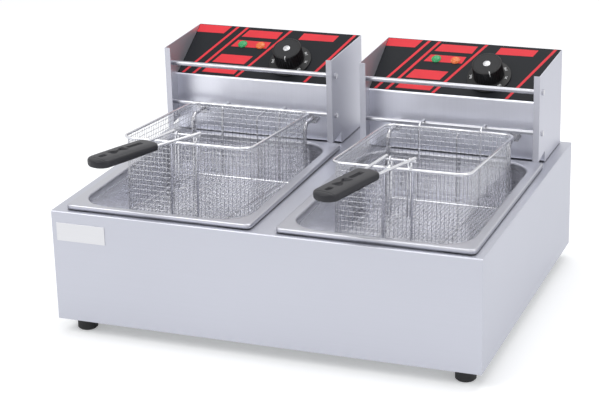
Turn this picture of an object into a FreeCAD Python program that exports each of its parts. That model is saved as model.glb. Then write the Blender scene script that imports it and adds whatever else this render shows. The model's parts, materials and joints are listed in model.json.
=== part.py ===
import FreeCAD, Part
import os
import re
import Sketcher
from FreeCAD import Placement, Rotation, Vector

# Twin-tank countertop deep fryer. +X is the operator's right, +Y points to the back, +Z up.
# The origin is on the table, in the middle of the whole object's footprint. Millimetres.

os.makedirs("parts", exist_ok=True)
doc = FreeCAD.newDocument("DeepFryer")

# Driving dimensions. "Behind front" is measured from the cabinet's front face, "above deck"
# from the deck's upper face.
SIZES = {
    # cabinet
    "cabinet_width": 560.0,
    "cabinet_depth": 451.0,
    "cabinet_height": 147.0,
    "cabinet_sheet": 1.0,
    "panel_seam": 0.5,
    "bend_radius": 2.0,
    "foot_height": 20.0,
    "foot_diameter": 26.0,
    "foot_taper": 2.0,
    "foot_inset": 27.0,
    "foot_recess_diameter": 12.0,
    "foot_recess_depth": 9.0,
    "foot_nut_height": 3.0,
    "foot_screw_stand": 6.5,
    "vent_width": 5.0,
    "vent_length": 50.0,
    "vent_pitch": 14.0,
    "rear_slots": 13.0,
    "rear_slot_base": 45.0,
    "tray_slots": 7.0,
    "badge_width": 67.0,
    "badge_height": 24.0,
    "badge_sheet": 0.8,
    "badge_side_margin": 6.5,
    "badge_top_margin": 15.0,
    # oil pans
    "pan_pitch": 282.0,
    "pan_play": 3.0,
    "pan_sheet": 1.0,
    "rim_width": 250.0,
    "rim_length": 330.0,
    "rim_setback": 8.0,
    "rim_height": 7.0,
    "lip_height": 5.5,
    "rim_corner": 6.0,
    "bowl_width": 226.0,
    "bowl_length": 312.0,
    "bowl_depth": 130.0,
    "bowl_corner": 40.0,
    "bowl_floor_corner": 18.0,
    "collar_side_gap": 6.0,
    "collar_end_gap": 4.5,
    "collar_drop": 10.0,
    "weld_gap": 0.1,
    # control heads
    "head_pitch": 285.3,
    "head_width": 245.5,
    "head_height": 131.0,
    "head_sheet": 1.0,
    "head_back_inset": 5.2,
    "head_deck_gap": 1.2,
    "front_panel_gap": 1.5,
    "front_panel_setback": 358.0,
    "slope_start": 80.5,
    "ear_reach": 35.3,
    "ear_flange": 8.0,
    "ear_drop": 3.7,
    "ear_foot_height": 11.8,
    "notch_height": 16.5,
    "head_flange": 22.0,
    "overlay_sheet": 0.5,
    "overlay_margin": 2.5,
    "overlay_top_margin": 0.5,
    # rods between the ears
    "rod_setback": 14.0,
    "guard_rod_diameter": 6.4,
    "guard_rod_height": 102.6,
    "hanging_rod_diameter": 6.0,
    "hanging_rod_height": 46.7,
    # screws
    "screw_diameter": 3.9,
    "screw_head_diameter": 7.5,
    "screw_head_height": 2.4,
    "screw_grip": 9.0,
    "cover_screw_inset": 16.0,
    "cover_screw_length": 6.5,
    "hole_clearance": 0.4,
    # locating pins between deck and heads
    "pin_diameter": 6.0,
    "pin_height": 9.0,
    "pin_pitch": 190.0,
    "pin_setback": 11.0,
    "pin_clearance": 0.5,
    # knob, shaft and thermostat: side offset from the head's middle, height up the slope
    "knob_offset": 36.3,
    "knob_rise": 40.0,
    "skirt_diameter": 59.5,
    "skirt_sheet": 2.5,
    "skirt_gap": 0.6,
    "knob_diameter": 41.0,
    "knob_height": 25.0,
    "knob_chamfer": 1.5,
    "knob_flute_diameter": 5.0,
    "knob_flutes": 18.0,
    "cap_diameter": 10.0,
    "cap_sheet": 1.2,
    "shaft_diameter": 6.0,
    "shaft_clearance": 0.05,
    "shaft_engagement": 14.0,
    "shaft_root": 12.0,
    "thermostat_width": 38.0,
    "thermostat_length": 44.0,
    "thermostat_height": 26.0,
    # lamps
    "green_lamp_offset": -44.0,
    "orange_lamp_offset": -16.8,
    "lamp_rise": 65.5,
    "lens_diameter": 13.4,
    "lens_height": 3.0,
    "lamp_barrel_diameter": 9.0,
    "lamp_barrel_length": 24.0,
    # heating element and its bulb
    "element_diameter": 6.0,
    "element_side_gap": 30.0,
    "element_exit_height": 34.5,
    "element_leg_setback": 320.5,
    "element_depth": 112.0,
    "element_front": 60.0,
    "element_rear_turn": 285.0,
    "element_bend": 10.0,
    "element_tail": 16.0,
    "nut_diameter": 17.0,
    "nut_height": 5.0,
    "bulb_diameter": 6.0,
    "bulb_length": 110.0,
    "bulb_depth": 102.0,
    "bulb_setback": 120.0,
    "capillary_diameter": 2.0,
    "capillary_offset": 12.0,
    "capillary_exit_height": 38.0,
    "capillary_setback": 322.5,
    "capillary_bend": 6.0,
    # rear of the head
    "rear_vent_count": 7.0,
    "rear_vent_height": 4.0,
    "rear_vent_width": 70.0,
    "rear_vent_pitch": 9.0,
    "rear_vent_base": 43.0,
    "terminal_width": 64.0,
    "terminal_depth": 18.0,
    "terminal_height": 16.0,
    "gland_offset": 80.0,
    "gland_height": 30.0,
    "gland_diameter": 22.0,
    "gland_reach": 14.0,
    "gland_thread_diameter": 16.0,
    "gland_thread_length": 12.0,
    "gland_nut_height": 4.0,
    "gland_bore": 9.0,
    # baskets, measured square to their tilted rim
    "left_basket_shift": 7.0,
    "right_basket_shift": 5.0,
    "basket_width": 176.0,
    "basket_length": 220.0,
    "basket_depth": 103.0,
    "basket_corner": 16.0,
    "basket_tilt": 4.7,
    "basket_rim_setback": 315.0,
    "left_basket_rim_height": 54.0,
    "right_basket_rim_height": 48.0,
    "mesh_sheet": 1.6,
    "wire_gap": 0.05,
    "floor_ring_gap": 0.15,
    "rim_wire": 3.5,
    "frame_wire": 3.0,
    "hook_pitch": 84.0,
    "hook_clearance": 0.3,
    "hook_wrap": 50.0,
    "hook_tail": 5.0,
    "wire_bend": 5.0,
    "hook_floor_run": 190.0,
    "stay_pitch": 36.0,
    "stay_floor_run": 24.0,
    "bracket_pitch": 25.0,
    "bracket_spread": 4.0,
    "bracket_length": 62.0,
    "bracket_foot": 9.0,
    # handles
    "handle_wire": 4.0,
    "handle_bend": 6.0,
    "hinge_height": 10.0,
    "pin_wire": 2.4,
    "eye_wire": 2.2,
    "leg_lift": 3.0,
    "hinge_inset": 5.0,
    "hinge_clearance": 0.1,
    "leg_pitch": 36.3,
    "leg_tail": 2.0,
    "leg_reach": 58.5,
    "leg_entry_pitch": 24.0,
    "left_handle_yaw": 21.7,
    "right_handle_yaw": 17.8,
    "left_handle_rise": -4.6,
    "right_handle_rise": -6.6,
    "grip_length": 98.5,
    "grip_socket": 22.0,
    "grip_width": 36.0,
    "grip_tip_width": 35.5,
    "grip_height": 12.5,
    "grip_round": 4.0,
    "grip_recess_depth": 2.0,
    "grip_root_cut": 6.0,
    "grip_tip_cut": 10.0,
}

# Values worked out from the driving dimensions.
WORKED = {
    "deck_top": "foot_height + cabinet_height",
    "least_yaw": "min(left_handle_yaw; right_handle_yaw)",
    "handle_reach": "(leg_reach + grip_length) * cos(least_yaw) + basket_length - hinge_inset",
    "front_reach": "handle_reach * cos(basket_tilt) - basket_rim_setback"
                   " + grip_tip_width / 2 * sin(least_yaw)",
    "rear_reach": "gland_reach - head_back_inset",
    "front_y": "(front_reach - rear_reach - cabinet_depth) / 2",
    "back_y": "front_y + cabinet_depth",
    "rim_front_y": "front_y + rim_setback",
    "collar_top": "deck_top + rim_height - pan_sheet",
    "pan_middle_y": "rim_front_y + rim_length / 2",
    "panel_y": "front_y + front_panel_setback",
    "head_back_y": "back_y - head_back_inset",
    "head_run": "head_back_y - panel_y - head_sheet",
    "inner_width": "head_width - 2 * head_sheet",
    "slope": "atan((head_height - slope_start) / head_run)",
    "slope_length": "head_run / cos(slope)",
    "rod_y": "panel_y - ear_reach + rod_setback",
    "skirt_base": "overlay_sheet + skirt_gap",
    "element_leg_pitch": "bowl_width - 2 * element_side_gap",
    "mesh_width": "basket_width - rim_wire - 2 * wire_gap",
    "mesh_length": "basket_length - rim_wire - 2 * wire_gap",
    "eye_radius": "pin_wire / 2 + hinge_clearance + eye_wire / 2",
    "mesh_floor_corner": "wire_bend - frame_wire / 2",
}

SIDES = {"left": -1, "right": 1}
# Where each recess of a grip starts and how long it is, as parts of the grip's length.
GRIP_RECESSES = ((0.165, 0.23), (0.44, 0.25), (0.77, 0.11))

sheet = doc.addObject("Spreadsheet::Sheet", "Sizes")
for row, (alias, value) in enumerate(SIZES.items(), start=1):
    sheet.set(f"A{row}", alias)
    sheet.set(f"B{row}", str(value))
    sheet.setAlias(f"B{row}", alias)
doc.recompute()

nodes = []


# ---- expressions ---------------------------------------------------------------------------

def formula(text):
    """Write a text in the sizes' plain names as an expression on the spreadsheet's cells."""
    def spelled(found):
        word = found.group(0)
        if word in SIZES:
            return "Sizes." + word
        if word in WORKED:
            return "(" + formula(WORKED[word]) + ")"
        return word
    return re.sub(r"[a-z_]+", spelled, str(text))


def number(text):
    """The value of such a text now."""
    value = sheet.evalExpression(formula(text))
    return float(getattr(value, "Value", value))


def point(*texts):
    return Vector(*[number(text) for text in texts])


# ---- builders ------------------------------------------------------------------------------

def placed(thing, where, turn=None):
    """Put an object at a place given as three texts, turned by (axis, angle text)."""
    if turn:
        axis, angle = turn
        thing.Placement = Placement(Vector(), Rotation(Vector(*axis), 1.0))
        thing.setExpression("Placement.Rotation.Angle", formula(angle))
    for letter, text in zip("xyz", where):
        thing.setExpression("Placement.Base." + letter, formula(text))
    return thing


def block(label, where, spans):
    """A box from its low corner and its three spans."""
    box = doc.addObject("Part::Box", label)
    for name, text in zip(("Length", "Width", "Height"), spans):
        box.setExpression(name, formula(text))
    return placed(box, where)


TOWARDS = {
    "+x": ((0, 1, 0), "90"),
    "-x": ((0, -1, 0), "90"),
    "+y": ((-1, 0, 0), "90"),
    "-y": ((1, 0, 0), "90"),
    "+z": None,
    "-z": ((1, 0, 0), "180"),
    "slope": ((1, 0, 0), "slope"),
    "into_slope": ((1, 0, 0), "slope + 180"),
}


def round_bar(label, where, towards, diameter, length):
    """A cylinder from its base centre, along one of the named directions."""
    bar = doc.addObject("Part::Cylinder", label)
    bar.setExpression("Radius", formula(f"({diameter}) / 2"))
    bar.setExpression("Height", formula(length))
    return placed(bar, where, TOWARDS[towards])


def joined(label, parts):
    fuse = doc.addObject("Part::MultiFuse", label)
    fuse.Shapes = parts
    return fuse


def less(label, base, tools):
    """The base with the tools cut away."""
    cut = doc.addObject("Part::Cut", label)
    cut.Base = base
    cut.Tool = tools[0] if len(tools) == 1 else joined(label + "_tools", tools)
    return cut


def together(label, parts):
    """Separate solids kept as one group."""
    group = doc.addObject("Part::Compound", label)
    group.Links = parts
    return group


def node(name, thing):
    """Name a finished sub-part, which is written to its own file."""
    thing.Label = name
    nodes.append(thing)
    return thing


def plane_of(body, role):
    return [item for item in body.Origin.OriginFeatures if item.Role == role][0]


def outline(body, role, corners):
    """A closed polygon on one of the body's own planes; every corner is tied to the sheet."""
    sketch = body.newObject("Sketcher::SketchObject", body.Name + "_outline")
    sketch.AttachmentSupport = [(plane_of(body, role), "")]
    sketch.MapMode = "FlatFace"
    spots = [point(across, up, "0") for across, up in corners]
    for index, spot in enumerate(spots):
        sketch.addGeometry(Part.LineSegment(spot, spots[(index + 1) % len(spots)]))
    for index, (across, up) in enumerate(corners):
        following = (index + 1) % len(corners)
        sketch.addConstraint(Sketcher.Constraint("Coincident", index, 2, following, 1))
        for kind, axis, text in (("DistanceX", -2, across), ("DistanceY", -1, up)):
            if text == "0":
                sketch.addConstraint(Sketcher.Constraint("PointOnObject", index, 1, axis))
                continue
            rule = Sketcher.Constraint(kind, -1, 1, index, 1, number(text))
            place = sketch.addConstraint(rule)
            sketch.renameConstraint(place, f"{kind}_{index}")
            sketch.setExpression(f"Constraints.{kind}_{index}", formula(text))
    return sketch


def extruded(label, role, corners, length):
    """A PartDesign pad of a polygon, from the plane along its normal."""
    body = doc.addObject("PartDesign::Body", label)
    sketch = outline(body, role, corners)
    pad = body.newObject("PartDesign::Pad", label + "_pad")
    pad.Profile = sketch
    pad.setExpression("Length", formula(length))
    doc.recompute()
    return body


def turned(label, corners):
    """A PartDesign revolution of a polygon of (radius, height) about the body's Z axis."""
    body = doc.addObject("PartDesign::Body", label)
    sketch = outline(body, "XZ_Plane", corners)
    revolution = body.newObject("PartDesign::Revolution", label + "_turn")
    revolution.Profile = sketch
    revolution.ReferenceAxis = (sketch, ["V_Axis"])
    revolution.Angle = 360
    doc.recompute()
    return body


def upright(edge):
    """Whether an edge is a straight one along Z."""
    first, last = edge.Vertexes[0].Point, edge.Vertexes[-1].Point
    return first.sub(last).Length > 0 and abs(first.z - last.z) > 0.99 * first.sub(last).Length


def softened(body, radius, chosen):
    """Fillet the body's edges that the test picks."""
    base = body.Tip
    names = [f"Edge{place}" for place, edge in enumerate(base.Shape.Edges, start=1) if chosen(edge)]
    fillet = body.newObject("PartDesign::Fillet", body.Name + "_round")
    fillet.Base = (base, names)
    fillet.setExpression("Radius", formula(radius))
    doc.recompute()
    return body


def slab(label, width, length, height, corner):
    """A plate with rounded upright edges, centred on its own Z axis and standing on z = 0."""
    half_width, half_length = f"({width}) / 2", f"({length}) / 2"
    body = extruded(label, "XY_Plane", [
        (f"-{half_width}", f"-{half_length}"), (half_width, f"-{half_length}"),
        (half_width, half_length), (f"-{half_width}", half_length)], height)
    return softened(body, corner, upright)


def path_edges(corners, radii, closed=False):
    """Straight runs joined by tangent arcs, one arc at each corner that has a radius."""
    count = len(corners)
    entries, exits, arcs = list(corners), list(corners), {}
    for index in range(count):
        if not closed and index in (0, count - 1):
            continue
        here, before, after = corners[index], corners[index - 1], corners[(index + 1) % count]
        back, ahead = (before - here).normalize(), (after - here).normalize()
        half_angle = back.getAngle(ahead) / 2
        setback = radii[index] / number(f"tan({half_angle} rad)")
        entries[index], exits[index] = here + back * setback, here + ahead * setback
        middle = (back + ahead).normalize()
        centre = here + middle * (radii[index] / number(f"sin({half_angle} rad)"))
        arcs[index] = Part.Arc(entries[index], centre - middle * radii[index], exits[index])
    edges = []
    for index in range(count if closed else count - 1):
        following = (index + 1) % count
        if (entries[following] - exits[index]).Length > 1e-6:
            edges.append(Part.LineSegment(exits[index], entries[following]).toShape())
        if following in arcs:
            edges.append(arcs[following].toShape())
    return edges


def wire_solid(corners, radii, diameter, closed=False):
    """A round wire bent along a path."""
    spine = Part.Wire(path_edges(corners, radii, closed))
    start = spine.OrderedEdges[0]
    heading = start.tangentAt(start.FirstParameter)
    ring = Part.Circle(start.valueAt(start.FirstParameter), heading, diameter / 2)
    return spine.makePipeShell([Part.Wire(ring.toShape())], True, False)


def shaped(label, solid):
    """An object for a shape that is made directly, such as bent wire."""
    thing = doc.addObject("Part::Feature", label)
    thing.Shape = solid
    return thing


def fused(solids):
    whole = solids[0].multiFuse(solids[1:])
    return whole.removeSplitter()


def side_x(side, pitch, shift="0"):
    """The middle of the left or right unit."""
    return f"{SIDES[side]} * {pitch} / 2 + {shift}"


# ---- cabinet -------------------------------------------------------------------------------

def pan_opening(side, label, margin, low, height):
    """A form around the bowl: the gap between bowl and collar, and a margin more on every side."""
    form = slab(f"{label}_{side}", f"bowl_width + 2 * (collar_side_gap + {margin})",
                f"bowl_length + 2 * (collar_end_gap + {margin})", height,
                f"bowl_corner + collar_end_gap + {margin}")
    return placed(form, (side_x(side, "pan_pitch"), "pan_middle_y", low))


def cabinet():
    folded = extruded("folded_sheet", "YZ_Plane", [
        ("0", "0"), ("cabinet_sheet", "0"), ("cabinet_sheet", "cabinet_height - cabinet_sheet"),
        ("cabinet_depth", "cabinet_height - cabinet_sheet"), ("cabinet_depth", "cabinet_height"),
        ("0", "cabinet_height")], "cabinet_width")
    top, wall = number("cabinet_height"), number("cabinet_sheet")
    softened(folded, "bend_radius", lambda edge: abs(edge.CenterOfMass.y) < 0.01
             and abs(edge.CenterOfMass.z - top) < 0.01)
    softened(folded, "bend_radius - cabinet_sheet", lambda edge:
             abs(edge.CenterOfMass.y - wall) < 0.01 and abs(edge.CenterOfMass.z - top + wall) < 0.01)
    placed(folded, ("-cabinet_width / 2", "front_y", "foot_height"))
    cuts = [pan_opening(side, "deck_cut_out", "cabinet_sheet + weld_gap", "deck_top - collar_drop",
                        "2 * collar_drop") for side in SIDES]
    node("deck_and_front_sheet", less("deck_cut", folded, cuts))

    side_length = "cabinet_depth - 2 * (cabinet_sheet + panel_seam)"
    side_top = "cabinet_height - cabinet_sheet"
    for side, low_x in (("left", "-cabinet_width / 2"), ("right", "cabinet_width / 2 - cabinet_sheet")):
        node(f"cabinet_side_{side}", block(
            f"side_{side}", (low_x, "front_y + cabinet_sheet + panel_seam", "foot_height"),
            ("cabinet_sheet", side_length, side_top)))

    rear = block("rear_plate", ("-cabinet_width / 2", "back_y - cabinet_sheet", "foot_height"),
                 ("cabinet_width", "cabinet_sheet", side_top))
    slots = [block(f"rear_slot_{count}",
                   (f"({count} - (rear_slots - 1) / 2) * vent_pitch - vent_width / 2",
                    "back_y - 2 * cabinet_sheet", "foot_height + rear_slot_base"),
                   ("vent_width", "3 * cabinet_sheet", "vent_length"))
             for count in range(int(number("rear_slots")))]
    node("cabinet_rear_panel", less("rear_cut", rear, slots))

    tray = block("tray_plate", ("-cabinet_width / 2 + cabinet_sheet", "front_y + cabinet_sheet",
                                "foot_height"),
                 ("cabinet_width - 2 * cabinet_sheet", "cabinet_depth - 2 * cabinet_sheet",
                  "cabinet_sheet"))
    holes = [round_bar(f"tray_hole_{name}", (x, y, "foot_height - 1"), "+z",
                       "screw_diameter + hole_clearance", "cabinet_sheet + 2")
             for name, x, y in foot_places()]
    slots = [block(f"tray_slot_{side}_{count}",
                   (f"{side_x(side, 'pan_pitch')} + ({count} - (tray_slots - 1) / 2) * 2 * vent_pitch",
                    "pan_middle_y - vent_length / 2", "foot_height - 1"),
                   ("vent_width", "vent_length", "cabinet_sheet + 2"))
             for side in SIDES for count in range(int(number("tray_slots")))]
    node("cabinet_bottom_pan", less("tray_cut", tray, holes + slots))

    badge = extruded("badge", "XZ_Plane", [
        ("0", "0"), ("badge_width", "0"), ("badge_width", "badge_height"), ("0", "badge_height")],
        "badge_sheet")
    placed(badge, ("-cabinet_width / 2 + badge_side_margin", "front_y",
                   "deck_top - badge_top_margin - badge_height"))
    node("badge_plate", badge)


def pan_collar(side):
    """The welded collar that lines a deck cut-out and carries the pan's flange."""
    outer = pan_opening(side, "collar_outer", "cabinet_sheet", "deck_top - collar_drop",
                        "collar_top - deck_top + collar_drop")
    inner = pan_opening(side, "collar_inner", "0", "deck_top - 2 * collar_drop", "4 * collar_drop")
    node(f"pan_collar_{side}", less(f"collar_{side}", outer, [inner]))


def foot_places():
    across, along = "cabinet_width / 2 - foot_inset", "cabinet_depth / 2 - foot_inset"
    middle = "front_y + cabinet_depth / 2"
    return [(f"{row}_{side}", f"{SIDES[side]} * ({across})", f"{middle} + {sign} * ({along})")
            for row, sign in (("front", -1), ("rear", 1)) for side in SIDES]


def feet():
    rubber, screws = [], []
    for name, x, y in foot_places():
        foot = turned(f"foot_{name}", [
            ("(screw_diameter + hole_clearance) / 2", "foot_recess_depth"),
            ("foot_recess_diameter / 2", "foot_recess_depth"), ("foot_recess_diameter / 2", "0"),
            ("foot_diameter / 2 - foot_taper", "0"), ("foot_diameter / 2", "foot_taper"),
            ("foot_diameter / 2", "foot_height"),
            ("(screw_diameter + hole_clearance) / 2", "foot_height")])
        rubber.append(placed(foot, (x, y, "0")))
        head = round_bar(f"foot_screw_head_{name}", (x, y, "foot_recess_depth - screw_head_height"),
                         "+z", "screw_head_diameter", "screw_head_height")
        shank = round_bar(f"foot_screw_shank_{name}", (x, y, "foot_recess_depth - 0.5"), "+z",
                          "screw_diameter", "foot_height - foot_recess_depth + foot_screw_stand")
        nut = round_bar(f"foot_nut_{name}", (x, y, "foot_height + cabinet_sheet"), "+z",
                        "screw_head_diameter", "foot_nut_height")
        screws.append(joined(f"foot_screw_{name}", [head, shank, nut]))
    node("rubber_feet", together("feet", rubber))
    node("foot_screws", together("foot_screw_group", screws))


def pin_places():
    return [(f"{side}_{end}", f"{side_x(side, 'head_pitch')} + {sign} * pin_pitch / 2")
            for side in SIDES for end, sign in (("a", -1), ("b", 1))]


def locating_pins():
    pins = [round_bar(f"pin_{name}", (x, "panel_y + pin_setback", "deck_top"), "+z",
                      "pin_diameter", "pin_height") for name, x in pin_places()]
    node("head_locating_pins", together("pins", pins))


# ---- oil pans ------------------------------------------------------------------------------

def oil_pan(side):
    """A deep-drawn bowl with a flat flange and a lip folded down around it."""
    bowl = slab(f"bowl_{side}", "bowl_width", "bowl_length", "bowl_depth + rim_height", "bowl_corner")
    softened(bowl, "bowl_floor_corner", lambda edge: edge.CenterOfMass.z < 0.01)
    plate = slab(f"flange_{side}", "rim_width", "rim_length", "lip_height", "rim_corner")
    height = number("lip_height")
    softened(plate, "bend_radius", lambda edge: edge.CenterOfMass.z > height - 0.01)
    under = slab(f"flange_under_{side}", "rim_width - 2 * pan_sheet", "rim_length - 2 * pan_sheet",
                 "lip_height", "rim_corner - pan_sheet")
    softened(under, "bend_radius - pan_sheet", lambda edge: edge.CenterOfMass.z > height - 0.01)
    hollow = slab(f"hollow_{side}", "bowl_width - 2 * pan_sheet", "bowl_length - 2 * pan_sheet",
                  "bowl_depth + rim_height + 5", "bowl_corner - pan_sheet")
    softened(hollow, "bowl_floor_corner - pan_sheet", lambda edge: edge.CenterOfMass.z < 0.01)
    place = (side_x(side, "pan_pitch", "pan_play"), "pan_middle_y")
    placed(bowl, place + ("deck_top - bowl_depth",))
    placed(plate, place + ("deck_top + rim_height - lip_height",))
    placed(under, place + ("deck_top + rim_height - lip_height - pan_sheet",))
    placed(hollow, place + ("deck_top - bowl_depth + pan_sheet",))
    lip = less(f"lip_{side}", plate, [under])
    pan = less(f"pan_{side}", joined(f"pan_outer_{side}", [bowl, lip]), [hollow])
    node(f"oil_pan_{side}", pan)


# ---- control heads -------------------------------------------------------------------------

def on_slope(side, offset, rise, lift):
    """A place on the sloped panel: from the head's middle, up the slope, and off its face."""
    return (f"{side_x(side, 'head_pitch')} + {offset}",
            f"panel_y + ({rise}) * cos(slope) - ({lift}) * sin(slope)",
            f"deck_top + slope_start + ({rise}) * sin(slope) + ({lift}) * cos(slope)")


def panel_holes(side, purpose, extra):
    """Cutting bars through the sloped panel for the shaft and the two lamps."""
    spots = (("shaft", "knob_offset", "knob_rise", "shaft_diameter + 1.5"),
             ("green", "green_lamp_offset", "lamp_rise", "lamp_barrel_diameter"),
             ("orange", "orange_lamp_offset", "lamp_rise", "lamp_barrel_diameter"))
    return [round_bar(f"{purpose}_{name}_{side}", on_slope(side, offset, rise, "-3"), "slope",
                      f"{diameter} + {extra}", "6") for name, offset, rise, diameter in spots]


def leg_places(side):
    return [(f"{side}_{end}", f"{side_x(side, 'head_pitch')} + {sign} * element_leg_pitch / 2")
            for end, sign in (("a", -1), ("b", 1))]


def head_shell(side):
    """The folded sheet of bottom flange, front panel and sloped control panel."""
    inside = "slope_start - head_sheet * (1 - sin(slope)) / cos(slope)"
    shell = extruded(f"shell_{side}", "YZ_Plane", [
        ("0", "front_panel_gap"), ("head_flange", "front_panel_gap"),
        ("head_flange", "front_panel_gap + head_sheet"),
        ("head_sheet", "front_panel_gap + head_sheet"), ("head_sheet", inside),
        ("head_run", "head_height - head_sheet / cos(slope)"), ("head_run", "head_height"),
        ("0", "slope_start")], "inner_width")
    bends = (("0", "slope_start", "bend_radius"), ("head_sheet", inside, "bend_radius - head_sheet"),
             ("0", "front_panel_gap", "bend_radius"),
             ("head_sheet", "front_panel_gap + head_sheet", "bend_radius - head_sheet"))
    for along, up, radius in bends:
        spot = (number(along), number(up))
        softened(shell, radius, lambda edge, spot=spot: abs(edge.CenterOfMass.y - spot[0]) < 0.01
                 and abs(edge.CenterOfMass.z - spot[1]) < 0.01)
    placed(shell, (f"{side_x(side, 'head_pitch')} - inner_width / 2", "panel_y", "deck_top"))
    cuts = panel_holes(side, "shell_hole", "0.4")
    cuts += [round_bar(f"leg_hole_{name}", (x, "panel_y - 1", "deck_top + element_exit_height"),
                       "+y", "element_diameter + hole_clearance", "head_sheet + 2")
             for name, x in leg_places(side)]
    cuts.append(round_bar(f"capillary_hole_{side}", (
        f"{side_x(side, 'head_pitch')} + capillary_offset", "panel_y - 1",
        "deck_top + capillary_exit_height"), "+y", "capillary_diameter + 1", "head_sheet + 2"))
    cuts += [round_bar(f"pin_hole_{name}", (x, "panel_y + pin_setback", "deck_top"), "+z",
                       "pin_diameter + 2 * pin_clearance", "front_panel_gap + head_sheet + 1")
             for name, x in pin_places() if name.startswith(side)]
    node(f"head_panel_{side}", less(f"head_shell_{side}", shell, cuts))


def head_side(side, end):
    """A flat side panel, cut slantwise over the pan's rim, with a flange folded in at the ear."""
    outward = {"inner": -SIDES[side], "outer": SIDES[side]}[end]
    plate = extruded(f"ear_{side}_{end}", "YZ_Plane", [
        ("0", "ear_foot_height"), ("ear_reach", "notch_height"), ("ear_reach", "head_deck_gap"),
        ("ear_reach + head_run", "head_deck_gap"), ("ear_reach + head_run", "head_height"),
        ("0", "head_height - ear_drop")], "head_sheet")
    middle = side_x(side, "head_pitch")
    low_x = f"{middle} + {outward} * (head_width - head_sheet) / 2 - head_sheet / 2"
    placed(plate, (low_x, "panel_y - ear_reach", "deck_top"))
    flange_middle = f"{middle} + {outward} * (head_width - ear_flange) / 2"
    flange = block(f"ear_flange_{side}_{end}",
                   (f"{flange_middle} - ear_flange / 2", "panel_y - ear_reach",
                    "deck_top + ear_foot_height"),
                   ("ear_flange", "head_sheet", "head_height - ear_drop - ear_foot_height"))
    holes = [round_bar(f"ear_hole_{name}_{side}_{end}",
                       (f"{middle} + {outward} * (head_width / 2 - head_sheet - 1)", "rod_y",
                        f"deck_top + {name}_rod_height"),
                       "+x" if outward > 0 else "-x", "screw_diameter + hole_clearance",
                       "head_sheet + 2") for name in ("guard", "hanging")]
    node(f"head_side_{end}_{side}",
         less(f"ear_cut_{side}_{end}", joined(f"ear_body_{side}_{end}", [plate, flange]), holes))


def rear_cover(side):
    middle = side_x(side, "head_pitch")
    plate = block(f"rear_plate_{side}", (f"{middle} - head_width / 2", "head_back_y - head_sheet",
                                         "deck_top + head_deck_gap"),
                  ("head_width", "head_sheet", "head_height - head_deck_gap"))
    cuts = [block(f"louvre_{side}_{count}",
                  (f"{middle} - rear_vent_width / 2", "head_back_y - 2 * head_sheet",
                   f"deck_top + rear_vent_base + {count} * rear_vent_pitch"),
                  ("rear_vent_width", "3 * head_sheet", "rear_vent_height"))
            for count in range(int(number("rear_vent_count")))]
    cuts.append(round_bar(f"gland_hole_{side}", (f"{middle} + gland_offset",
                                                 "head_back_y - 2 * head_sheet",
                                                 "deck_top + gland_height"),
                          "+y", "gland_thread_diameter", "3 * head_sheet"))
    cuts += [round_bar(f"cover_hole_{name}", (x, "head_back_y - 2 * head_sheet", z), "+y",
                       "screw_diameter", "3 * head_sheet") for name, x, z in cover_screw_places(side)]
    node(f"head_rear_cover_{side}", less(f"rear_cover_{side}", plate, cuts))


def cover_screw_places(side):
    middle = side_x(side, "head_pitch")
    low, high = "cover_screw_inset", "head_height - cover_screw_inset"
    return [(f"{side}_{place}", f"{middle} + {across} * (head_width / 2 - cover_screw_inset)",
             f"deck_top + {up}")
            for place, across, up in (("a", -1, low), ("b", 1, low), ("c", -1, high), ("d", 1, high))]


def overlay(side):
    plate = block(f"overlay_{side}", on_slope(side, "-inner_width / 2", "overlay_margin", "0"),
                  ("inner_width", "slope_length - overlay_margin - overlay_top_margin", "overlay_sheet"))
    placed(plate, on_slope(side, "-inner_width / 2", "overlay_margin", "0"), TOWARDS["slope"])
    node(f"control_overlay_{side}",
         less(f"overlay_cut_{side}", plate, panel_holes(side, "overlay_hole", "0.8")))


def rods(side):
    """The two round rods between the ears; each end is drilled for its screw."""
    middle = side_x(side, "head_pitch")
    bars, screws = {}, []
    for name in ("guard", "hanging"):
        height = f"deck_top + {name}_rod_height"
        bar = round_bar(f"{name}_bar_{side}", (f"{middle} - inner_width / 2", "rod_y", height), "+x",
                        f"{name}_rod_diameter", "inner_width")
        bores = []
        for end, sign, towards in (("a", -1, "-x"), ("b", 1, "+x")):
            face = f"{middle} + {sign} * head_width / 2"
            root = f"{middle} + {sign} * (inner_width / 2 - screw_grip)"
            bores.append(round_bar(f"{name}_bore_{side}_{end}", (root, "rod_y", height), towards,
                                   "screw_diameter", "screw_grip + 1"))
            head = round_bar(f"{name}_screw_head_{side}_{end}", (face, "rod_y", height), towards,
                             "screw_head_diameter", "screw_head_height")
            shank = round_bar(f"{name}_screw_shank_{side}_{end}", (root, "rod_y", height), towards,
                              "screw_diameter", "screw_grip + head_sheet + 0.5")
            screws.append(joined(f"{name}_screw_{side}_{end}", [head, shank]))
        bars[name] = less(f"{name}_rod_cut_{side}", bar, bores)
    node(f"guard_rod_{side}", bars["guard"])
    node(f"hanging_rod_{side}", bars["hanging"])
    for name, x, z in cover_screw_places(side):
        head = round_bar(f"cover_screw_head_{name}", (x, "head_back_y", z), "+y",
                         "screw_head_diameter", "screw_head_height")
        shank = round_bar(f"cover_screw_shank_{name}", (x, "head_back_y + 0.5", z), "-y",
                          "screw_diameter", "cover_screw_length + 0.5")
        screws.append(joined(f"cover_screw_{name}", [head, shank]))
    node(f"head_screws_{side}", together(f"head_screw_group_{side}", screws))


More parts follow.
